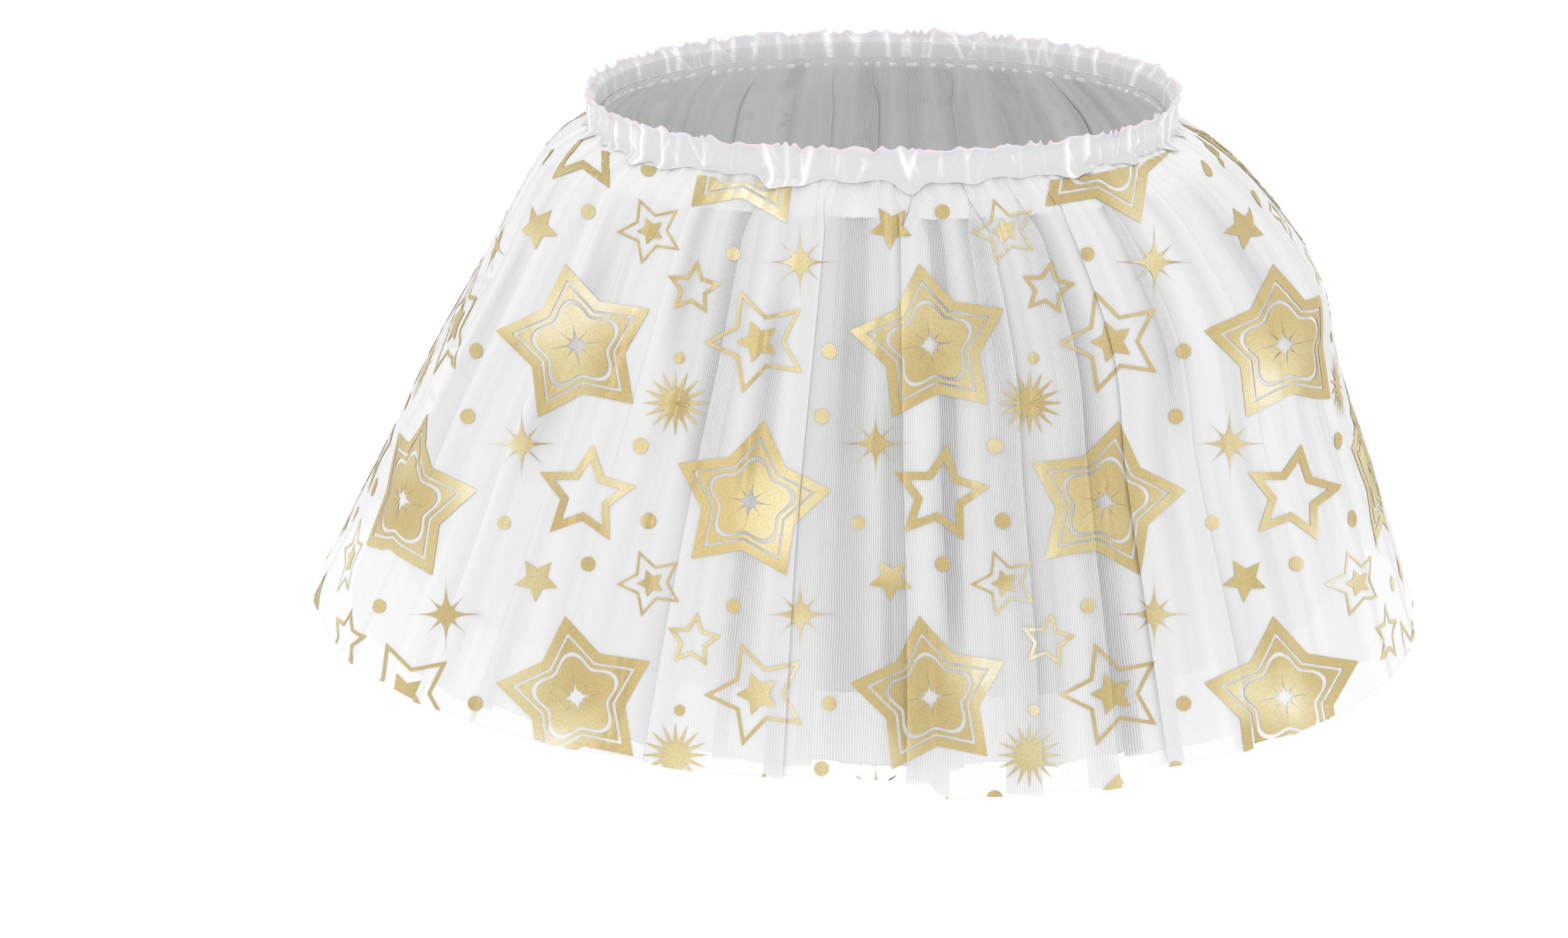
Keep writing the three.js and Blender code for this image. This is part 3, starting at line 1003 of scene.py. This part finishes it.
# %% Where the print lies
SEEN_AT = 2100.0
TURNED_AWAY = (0.2, 0.45)
CHART_ROWS, CHART_COLUMNS = 120, 480
CHART_TOP, CHART_END = -0.02, 1.08


def eye_view(points, panel):
    """Where the eye sees points, in millimetres as far away as the skirt is.

    Their distance to the right of the line of sight and above it, divided by how
    far ahead they are. The back panel is seen by an eye that stands behind.
    """
    side = PANELS[panel]["side"]
    from_eye = points * (side, side, 1) - eye
    c, s = math.cos(LOOKS_ASIDE), math.sin(LOOKS_ASIDE)
    down, level = math.sin(LOOKS_DOWN), math.cos(LOOKS_DOWN)
    ahead = from_eye @ np.array([-s * level, c * level, -down])
    right = from_eye @ np.array([c, s, 0])
    above = from_eye @ np.array([-s * down, c * down, level])
    return SEEN_AT * stacked(right, above) / ahead[..., None]


def plain_point(panel, across, share):
    """A point of the outer oval, with no folds on it."""
    angle = angle_at(panel, across)
    z = NET_TOP + share * (hem_height(angle) - NET_TOP)
    return stacked(*plan_point(angle, np.clip(share, 0, None)), z)


def print_chart(panel):
    """The print's x and y over a panel, and how much of each place is as the eye sees it.

    Each column is the one before it plus a step: the step that the eye sees, or
    where the skirt has turned away, the true distance round the skirt.
    """
    share = np.linspace(CHART_TOP, CHART_END, CHART_ROWS)[:, None]
    across = np.linspace(0, 1, CHART_COLUMNS)[None, :]
    points = plain_point(panel, across, share)
    seen = eye_view(points, panel)
    nx, ny = plan_normal(angle_at(panel, across), np.clip(share, 0, None))
    to_eye = eye[:2] * PANELS[panel]["side"] - points[..., :2]
    faces_eye = (nx * to_eye[..., 0] + ny * to_eye[..., 1]) / np.linalg.norm(to_eye, axis=-1)
    as_seen = smooth(*TURNED_AWAY, faces_eye)
    as_seen_step = ((as_seen[:, 1:] + as_seen[:, :-1]) / 2)[..., None]
    walked = np.linalg.norm(np.diff(points[..., :2], axis=1), axis=-1)
    true_step = stacked(walked, 0.0)
    steps = np.diff(seen, axis=1) * as_seen_step + true_step * (1 - as_seen_step)
    total = np.concatenate([np.zeros((CHART_ROWS, 1, 2)), np.cumsum(steps, axis=1)], axis=1)
    middle = CHART_COLUMNS // 2
    total = total - total[:, [middle]] + seen[:, [middle]]
    return np.concatenate([total, as_seen[..., None]], -1)


def read_chart(chart, across, share):
    """Bilinear reading of the chart, with its two slopes."""
    column = np.clip(across * (CHART_COLUMNS - 1), 0, CHART_COLUMNS - 1.001)
    row = np.clip((share - CHART_TOP) / (CHART_END - CHART_TOP) * (CHART_ROWS - 1),
                  0, CHART_ROWS - 1.001)
    c, r = column.astype(int), row.astype(int)
    u, v = (column - c)[:, None], (row - r)[:, None]
    a, b = chart[r, c], chart[r, c + 1]
    d, e = chart[r + 1, c], chart[r + 1, c + 1]
    value = (a * (1 - u) + b * u) * (1 - v) + (d * (1 - u) + e * u) * v
    by_across = ((b - a) * (1 - v) + (e - d) * v) * (CHART_COLUMNS - 1)
    by_share = ((d - a) * (1 - u) + (e - b) * u) * (CHART_ROWS - 1) / (CHART_END - CHART_TOP)
    return value, by_across, by_share


# %% [markdown]
# Where the net laps over itself, only the outermost cloth carries the foil that
# shows. So each stretch of cloth between two folds gets its own height across
# the panel. A motif is cut along the edge of a fold, and its two parts are laid
# on the stretch in front and the one behind. Both are placed so that the eye
# sees them in line, because on the real net the folds don't break the stars.

# %% The cloth that shows
HEIGHT_PLACES = 2401
FOIL_LIFT = 0.55
NEWTON_STEPS = 9
LONGEST_STEP = 0.05
STRETCH_POINTS = 400


def stretch_heights(course):
    """Height of each stretch of cloth between two folds, at even places across the panel."""
    places = np.linspace(0, 1, HEIGHT_PLACES)
    knots = np.arange(1, len(course["travel"]) - 1, FOLD_KNOTS)
    starts = np.concatenate([[0], course["travel"][knots + SECOND_EDGE]])
    ends = np.concatenate([course["travel"][knots + FIRST_EDGE], course["travel"][-1:]])
    heights = []
    for start, end in zip(starts, ends):
        travelled = np.linspace(start, end, STRETCH_POINTS)
        across = curve_through(course["travel"], course["lapped"], travelled)
        height = curve_through(course["travel"], course["height"], travelled)
        order = np.argsort(across)
        heights.append(np.interp(places, across[order], height[order]))
    return np.array(heights)


def foil_point(panel, across, share, heights, stretch):
    """Where the foil lies on the given stretch of each point, with its height read between places."""
    still = across - wander(panel, across, share)
    place = np.clip(still * (HEIGHT_PLACES - 1), 0, HEIGHT_PLACES - 1.001)
    left = place.astype(int)
    part = place - left
    height = heights[stretch, left] * (1 - part) + heights[stretch, left + 1] * part
    return net_point("outer", panel, across, share, height, FOIL_LIFT)


def place_on_panel(panel, chart, wanted, across, share, heights=None, stretch=None):
    """Across and share for wanted print places, by Newton's steps from a first guess.

    The miss is divided by the slopes' two by two matrix. With stretches given, the
    point that the eye sees is the real one, on the fold and not on the plain oval.
    """
    for _ in range(NEWTON_STEPS):
        value, da, ds = read_chart(chart, across, share)
        found = value[:, :2]
        if stretch is not None:
            real = foil_point(panel, across, share, heights, stretch)
            aside = eye_view(real, panel) - eye_view(plain_point(panel, across, share), panel)
            found = found + value[:, 2:] * aside
        miss = wanted - found
        size = da[:, 0] * ds[:, 1] - da[:, 1] * ds[:, 0]
        move = (miss[:, 0] * ds[:, 1] - miss[:, 1] * ds[:, 0]) / size
        drop = (miss[:, 1] * da[:, 0] - miss[:, 0] * da[:, 1]) / size
        across = np.clip(across + np.clip(move, -LONGEST_STEP, LONGEST_STEP), -0.05, 1.05)
        share = np.clip(share + np.clip(drop, -LONGEST_STEP, LONGEST_STEP), CHART_TOP, CHART_END)
    return across, share


# %% The print
ACROSS, SHARE, FOLD = 2, 3, 4
EDGE_OF_PANEL = 0.004
FOIL_TOP, FOIL_END = 0.012, 0.9985
LEAST_AREA = 1e-4
PRINT_ORIGIN = {"front": (-106.5, 63.6), "back": (-58.0, 41.0)}
PRINT_TILES = 3


def cut(points, faces, past):
    """Cut the triangles where past goes through 0, and say which are past it.

    A triangle that crosses has one corner alone on its side. Its two edges there get a
    point where past is 0, and the triangle becomes one and a four-sided rest.
    """
    beyond = past[faces] > 0
    count = beyond.sum(1)
    crosses = (count == 1) | (count == 2)
    alone = np.argmax(beyond == (count == 1)[:, None], axis=1)
    a, b, c = np.take_along_axis(faces, (alone[:, None] + np.arange(3)) % 3, 1)[crosses].T
    fresh = [points[a] + (points[p] - points[a]) * (past[a] / (past[a] - past[p]))[:, None]
             for p in (b, c)]
    ab = len(points) + np.arange(len(a))
    ac = ab + len(a)
    tip_beyond = past[a] > 0
    parts = [faces[~crosses], np.stack([a, ab, ac], 1), np.stack([ab, b, c], 1), np.stack([ab, c, ac], 1)]
    sides = [beyond[~crosses, 0], tip_beyond, ~tip_beyond, ~tip_beyond]
    return np.concatenate([points, *fresh]), np.concatenate(parts), np.concatenate(sides)


def flat_motifs(panel, cells):
    """All motifs that reach a panel: x and y of each point and of its motif's middle, and triangles."""
    low, high = cells.min(0), cells.max(0)
    tiles = np.arange(-PRINT_TILES, PRINT_TILES + 1)
    parts = []
    for spot in PLACES:
        flat, triangles = motif_mesh(spot["motif"], spot["size"], spot["tip"])
        place = np.array(PRINT_ORIGIN[panel]) + (spot["x"], spot["y"])
        grid = np.stack(np.meshgrid(tiles, tiles), -1).reshape(-1, 2) * REPEAT + place
        reach = spot["size"]
        for middle in grid[((grid > low - reach) & (grid < high + reach)).all(1)]:
            parts.append((np.hstack([flat + middle, np.broadcast_to(middle, flat.shape)]), triangles))
    return joined(parts)


def printed_panel(name, panel):
    """All motifs that reach a panel, laid on the outer net and cut at its edges and folds."""
    chart = print_chart(panel)
    cells = chart[..., :2].reshape(-1, 2)
    heights = stretch_heights(COURSES["outer", panel])
    folds = arrays_of(folds_of("outer", panel))
    edges = folds["at"] + 0.5 * folds["faces"] * folds["lap"]
    in_front = np.arange(edges.size) + (folds["faces"] < 0)

    points, faces = flat_motifs(panel, cells)
    wanted = points[:, :2]
    unique, back = np.unique(points[:, 2:], axis=0, return_inverse=True)
    nearest = np.array([np.argmin(((cells - middle) ** 2).sum(1)) for middle in unique])
    row, column = np.divmod(nearest[back.ravel()], CHART_COLUMNS)
    across = column / (CHART_COLUMNS - 1)
    share = CHART_TOP + row * (CHART_END - CHART_TOP) / (CHART_ROWS - 1)
    across, share = place_on_panel(panel, chart, wanted, across, share)
    fold = np.abs((across - wander(panel, across, share))[:, None] - edges).argmin(1)
    across, share = place_on_panel(panel, chart, wanted, across, share, heights, in_front[fold])

    points = np.column_stack([wanted, across, share])
    for column, limit, sign in ((SHARE, FOIL_END, 1), (SHARE, FOIL_TOP, -1),
                                (ACROSS, 1 - EDGE_OF_PANEL, 1), (ACROSS, EDGE_OF_PANEL, -1)):
        points, faces, outside = cut(points, faces, sign * (points[:, column] - limit))
        faces = faces[~outside]
    still = points[:, ACROSS] - wander(panel, points[:, ACROSS], points[:, SHARE])
    fold = np.abs(still[:, None] - edges).argmin(1)
    past = still - edges[fold]
    at_one_fold = (fold[faces] == fold[faces[:, :1]]).all(1)
    between = faces[~at_one_fold]
    points, faces, beyond = cut(np.column_stack([points, fold]), faces[at_one_fold], past)
    owner = np.concatenate([
        points[faces[:, 0], FOLD].astype(int) + beyond,
        fold[between[:, 0]] + (past[between[:, 0]] > 0),
    ])
    faces = np.concatenate([faces, between])
    corners = points[faces][..., :2]
    ab, ac = corners[:, 1] - corners[:, 0], corners[:, 2] - corners[:, 0]
    kept = np.abs(ab[:, 0] * ac[:, 1] - ab[:, 1] * ac[:, 0]) > LEAST_AREA
    faces, owner = faces[kept], owner[kept]

    pairs = np.stack([faces, np.broadcast_to(owner[:, None], faces.shape)], -1).reshape(-1, 2)
    unique, back = np.unique(pairs, axis=0, return_inverse=True)
    point, stretch = unique.T
    across, share = place_on_panel(
        panel, chart, points[point, :2], points[point, ACROSS], points[point, SHARE], heights, stretch
    )
    across = np.clip(across, EDGE_OF_PANEL, 1 - EDGE_OF_PANEL)
    share = np.clip(share, FOIL_TOP, FOIL_END)
    piece = make_piece(name, foil_point(panel, across, share, heights, stretch), back.reshape(-1, 3))
    print(name, len(faces), "triangles")
    return piece


print_front = printed_panel("foil_print_front", "front")
print_back = printed_panel("foil_print_back", "back")

# %% [markdown]
# Tulle is polyester yarn knitted into a net of small holes. Seen from a step away
# it is a smooth white haze where it is crowded, and shows fine upright lines
# where it is thin. The lines belong to the cloth, so they are drawn on its own UV
# map, which is in metres along and down the cloth. A mask of threads sets how
# see-through the cloth is: the threads hide half of what is behind, and the holes
# much less. The holes are given a grey: painted shade, for the dim inside of the
# skirt seen through them, so the lines read grey where the net is thin. Real holes
# are 1 mm wide, and they are drawn 1.6 mm wide, as coarse as they need to be to
# show in the picture. The inner layers are painted a tone greyer as well: painted
# shade, for the shade that the layers around them cast on them.

# %% Tulle
THREAD_SPACING = 1.6 * MM
CROSS_SPACING = 2.1 * MM
THREAD_DRIFT = 3.0 * MM

# The net is denser at its edges: the attribute, from how many millimetres to how many,
# by how much, and how it eases off
DENSER = table(
    "attribute near far more easing",
    ("from_waist", 2.0, 30.0, 0.12, "SMOOTHSTEP"),
    ("from_seam", 4.0, 5.0, 0.1, "LINEAR"),
    ("from_hem", 0.6, 1.8, 0.15, "SMOOTHSTEP"),
)


def net_material(name, hole, thread, crowded, white, hole_painted_shade):
    """Polyester tulle, knitted and cut raw: matte white threads over holes that let the eye through.

    hole and thread are how opaque each is where the net is thin, and crowded is how
    opaque all of it is where it is thick. white is the colour of the threads, and the
    last argument is the grey of the holes: painted shade, for the dim inside seen through
    them. A MapRange node takes its value, the range from and the range to.
    """
    material, tree, shader = new_material(name)
    uv = add(tree, "UVMap", uv_map="cloth")
    drift = add(tree, "TexNoise", {"Vector": uv, "Scale": 40.0, "Detail": 2.0})
    moved = add(tree, "Math", [drift, THREAD_DRIFT], operation="MULTIPLY")
    parts = add(tree, "SeparateXYZ", [uv])
    masks = []
    for axis, spacing, strength in (("X", THREAD_SPACING, 1.0), ("Y", CROSS_SPACING, 0.12)):
        half = spacing / 2
        place = add(tree, "Math", [parts.outputs[axis], moved], operation="ADD")
        away = add(tree, "Math", [place, half], operation="PINGPONG")
        masks.append(add(tree, "MapRange", [away, 0.35 * half, 0.75 * half, strength, 0.0], **EASED))
    threads = add(tree, "Math", masks, operation="MAXIMUM")

    long_ways = add(tree, "Mapping", {"Vector": uv, "Scale": (55.0, 4.0, 1.0)})
    streaks = add(tree, "TexNoise", {"Vector": long_ways, "Scale": 1.0, "Detail": 1.0})
    bunched = add(tree, "MapRange", [streaks, 0.3, 0.7, -0.06, 0.06])
    thin = add(tree, "Attribute", attribute_name="thin").outputs["Fac"]
    sheer = add(tree, "MapRange", [threads, 0.0, 1.0, hole, thread])
    cover = add(tree, "MapRange", [thin, 0.0, 1.0, crowded, sheer])
    for row in DENSER:
        distance = add(tree, "Attribute", attribute_name=row["attribute"]).outputs["Fac"]
        denser = add(tree, "MapRange", [distance, row["near"], row["far"], row["more"], 0.0],
                     interpolation_type=row["easing"])
        cover = add(tree, "Math", [cover, denser], operation="ADD", use_clamp=True)
    cover = add(tree, "Math", [cover, bunched], operation="ADD", use_clamp=True)

    # The tone mixes the threads' white with the holes' painted shade, a grey for the dim inside seen
    # through them. Where the net is crowded it is mostly white
    white_share = add(tree, "MapRange", [thin, 0.0, 1.0, 0.85, threads])
    lighter = add(tree, "Math", [white_share, bunched], operation="ADD", use_clamp=True)
    tone = add(tree, "Mix", {"Factor": lighter, "A": hole_painted_shade, "B": white}, **COLOUR)
    bump = add(tree, "Bump", {"Height": threads, "Strength": 0.07, "Distance": 0.1 * MM})
    fill(tree, shader, {"Alpha": cover, "Base Color": tone, "Normal": bump, "Roughness": 0.62,
                        "Specular IOR Level": 0.3, "Sheen Weight": 0.15})
    return material


printed_tulle = net_material("printed_tulle", 0.18, 0.5, 0.84, "F4F4F4", "D4D4D4")
# The middle and inner layers are painted a tone greyer than the outer one, in threads and holes alike:
# painted shade, for the shade of the layers around them
middle_tulle_painted_shade = net_material("middle_tulle_painted_shade", 0.22, 0.5, 0.72, "DEDEDE", "C0C0C0")
inner_tulle_painted_shade = net_material("inner_tulle_painted_shade", 0.25, 0.55, 0.72, "DADADA", "BEBEBE")
doubled_net = net_material("doubled_heading_net", 0.92, 0.95, 0.95, "FCFCFC", "FAFAFA")

# %% [markdown]
# Satin is woven with long floating threads, which gives a soft gloss that runs
# along the ridges. This one is a white polyester satin. Where it turns over in the
# ruffle it has a faint pink and lilac iridescent sheen, and that sheen is painted
# into its colour, so that colour follows the distance from the ruffle. A second
# attribute follows the relief: the ridges are painted brighter, a painted
# highlight, and the pockets a shade greyer, painted shade. The weave itself is far
# too fine to show, and it is drawn at 0.5 mm, for close views only.

# %% Satin and thread
WEAVE = 0.5 * MM


def satin_material():
    """Polyester satin, woven: glossy, with a fine weave, a painted pink and lilac sheen at the ruffle,
    and painted highlights and shade on the relief.
    """
    material, tree, shader = new_material("white_satin")
    place = add(tree, "TexCoord").outputs["Object"]
    # Painted sheen: a faint pink and lilac near the ruffle's fold, for the iridescent gloss of the satin
    # there
    ruffle_sheen_hue = add(tree, "TexNoise", {"Vector": place, "Scale": 90.0, "Detail": 2.0})
    either = add(tree, "MapRange", [ruffle_sheen_hue, 0.42, 0.58])
    ruffle_painted_sheen = add(tree, "Mix", {"Factor": either, "A": "F2DDE2", "B": "DEDCEB"}, **COLOUR)
    # Painted highlight and shade: the ridges are painted near white, and the pockets a grey
    ridge = add(tree, "Attribute", attribute_name="ridge").outputs["Fac"]
    painted_highlight_share = add(tree, "MapRange", [ridge, -0.6, 1.3], **EASED)
    relief_painted_light = add(tree, "Mix", {"Factor": painted_highlight_share, "A": "DAD9DA", "B": "FAFAFA"}, **COLOUR)
    ruffle = add(tree, "Attribute", attribute_name="from_ruffle").outputs["Fac"]
    painted_sheen_share = add(tree, "MapRange", [ruffle, 0.3, 3.2, 0.75, 0.0], **EASED)
    tone = add(tree, "Mix", {"Factor": painted_sheen_share, "A": relief_painted_light, "B": ruffle_painted_sheen}, **COLOUR)
    parts = add(tree, "SeparateXYZ", [add(tree, "UVMap", uv_map="cloth")])
    waves = []
    for axis in ("X", "Y"):
        angle = add(tree, "Math", [parts.outputs[axis], 2 * math.pi / WEAVE], operation="MULTIPLY")
        waves.append(add(tree, "Math", [angle], operation="SINE"))
    weave = add(tree, "Math", waves, operation="MULTIPLY")
    crinkle = add(tree, "TexNoise", {"Vector": place, "Scale": 160.0, "Detail": 2.0})
    soft = add(tree, "Bump", {"Height": crinkle, "Strength": 0.35, "Distance": 0.9 * MM})
    fine = add(tree, "Bump", {"Height": weave, "Strength": 0.12, "Distance": 0.05 * MM, "Normal": soft})
    fill(tree, shader, {"Base Color": tone, "Normal": fine, "Roughness": 0.24,
                        "Specular IOR Level": 0.6})
    return material


def thread_material():
    """Polyester sewing thread, twisted: a little glossier than the net, with its ply as bump."""
    material, tree, shader = new_material("white_thread")
    place = add(tree, "TexCoord").outputs["Object"]
    wave = add(tree, "TexWave", {"Vector": place, "Scale": 900.0}, bands_direction="DIAGONAL")
    ply = wave.outputs["Fac"]
    tone = add(tree, "Mix", {"Factor": ply, "A": "E6E4E6", "B": "F0EEF0"}, **COLOUR)
    bump = add(tree, "Bump", {"Height": ply, "Strength": 0.4, "Distance": 0.05 * MM})
    fill(tree, shader, {"Base Color": tone, "Normal": bump, "Roughness": 0.45})
    return material


white_satin = satin_material()
white_thread = thread_material()

# %% [markdown]
# The foil is a gold film pressed onto the net with heat. It is metallic, yet
# the cloth under it keeps it from being a mirror: it shows a leathery grain. Broad
# patches of pale gold are painted highlights, for where it would catch the light.
# The patches are a slow noise on the object's own coordinates, a few centimetres
# wide, and the grain is a fine one of about a millimetre.

# %% Gold foil
PATCH = 62 * MM
GRAIN = 1.3 * MM


def foil_material():
    """Hot-pressed gold foil: a soft metal with a leathery grain, and paler patches that are painted
    highlights.
    """
    material, tree, shader = new_material("gold_foil")
    place = add(tree, "TexCoord").outputs["Object"]
    painted_highlight_noise = add(tree, "TexNoise", {"Vector": place, "Scale": 1 / PATCH, "Detail": 0.0,
                                     "Distortion": 0.4})
    # Painted highlights: the paler patches of gold stand for where the foil would catch the light
    tone = "C7B27A"
    for start, end, painted_highlight_tone in ((0.42, 0.66, "DED0A0"), (0.63, 0.76, "F2E8CB")):
        share = add(tree, "MapRange", [painted_highlight_noise, start, end], **EASED)
        tone = add(tree, "Mix", {"Factor": share, "A": tone, "B": painted_highlight_tone}, **COLOUR)
    grain = add(tree, "TexNoise", {"Vector": place, "Scale": 1 / GRAIN, "Detail": 2.0,
                                   "Roughness": 0.6})
    mottled = add(tree, "MapRange", [grain, 0.3, 0.7, 0.9, 1.06])
    shaded = add(tree, "VectorMath", {0: tone, "Scale": mottled}, operation="SCALE")
    bump = add(tree, "Bump", {"Height": grain, "Strength": 0.35, "Distance": 0.3 * MM})
    fill(tree, shader, {"Base Color": shaded, "Normal": bump, "Metallic": 0.35, "Roughness": 0.42})
    return material


gold_foil = foil_material()

# %% [markdown]
# Each piece gets its material, and then its place in the frame: it rides on the
# root. The imported solids of the net, the heading and the band are hidden, as the
# sheets take their place.

# %% Materials and the frame
for piece, material, slot in (
    (net["outer"], printed_tulle, "printed_tulle"),
    (net["middle"], middle_tulle_painted_shade, "plain_tulle"),
    (net["inner"], inner_tulle_painted_shade, "plain_tulle"),
    (heading, doubled_net, "heading_net"),
    (waistband, white_satin, "satin_waistband"),
    (stitching, white_thread, "satin_waistband"),
    (print_front, gold_foil, "gold_foil"),
    (print_back, gold_foil, "gold_foil"),
):
    piece.data.materials.append(material)
    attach(piece, "root")

for layer in LAYERS:
    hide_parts(f"tulle_{layer}_front", f"tulle_{layer}_back")
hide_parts("heading_band")
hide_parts("waistband")

# %% [markdown]
# The skirt hangs where a wearer's waist would be, almost a metre over a white
# floor. Large soft lights and a bright white surround light it from all sides,
# as in a studio with a white cove. The many layers of net need more
# see-through bounces than the default eight.

# %% Floor and light
FLOOR_HEIGHT = -0.98
FLOOR_SIZE = 30.0

corners = FLOOR_SIZE / 2 / MM * np.array([[-1, -1, 0], [1, -1, 0], [1, 1, 0], [-1, 1, 0]])
corners[:, 2] = FLOOR_HEIGHT / MM
floor = make_piece("floor", corners, np.array([[0, 1, 2, 3]]))
floor_paint, floor_tree, floor_shader = new_material("white_floor")
fill(floor_tree, floor_shader, {"Base Color": "8C8C8C", "Roughness": 0.9,
                                "Emission Color": "FFFFFF", "Emission Strength": 0.82})
floor.data.materials.append(floor_paint)

# place and size are in metres, power in watts, and all lights aim at the upper skirt
AIM = np.array([0, 0, -0.1])
LIGHTS = table(
    "name place size power",
    ("key", (-1.3, -2.9, 1.7), 1.7, 22),
    ("fill", (2.8, -1.4, 1.0), 2.2, 11),
    ("left", (-3.0, 0.5, 0.8), 2.2, 9),
    ("right", (3.0, 0.7, 0.8), 2.2, 6),
    ("back", (0.6, 3.0, 1.8), 2.0, 14),
    ("top", (0.0, 0.0, 3.2), 1.8, 15),
)
for light in LIGHTS:
    data = bpy.data.lights.new(light["name"], "AREA")
    data.size = light["size"]
    data.energy = light["power"]
    lamp = new_object(light["name"], data)
    lamp.location = light["place"]
    towards = AIM - light["place"]
    level = math.hypot(towards[0], towards[1])
    lamp.rotation_euler = (math.pi / 2 + math.atan2(towards[2], level), 0,
                           math.atan2(-towards[0], towards[1]))

world = bpy.data.worlds.new("white_surround")
world.use_nodes = True
fill(world.node_tree, world.node_tree.nodes["Background"], {"Color": "FFFFFF", "Strength": 0.78})
bpy.context.scene.world = world
bpy.context.scene.view_settings.view_transform = "Standard"
bpy.context.scene.cycles.transparent_max_bounces = 40
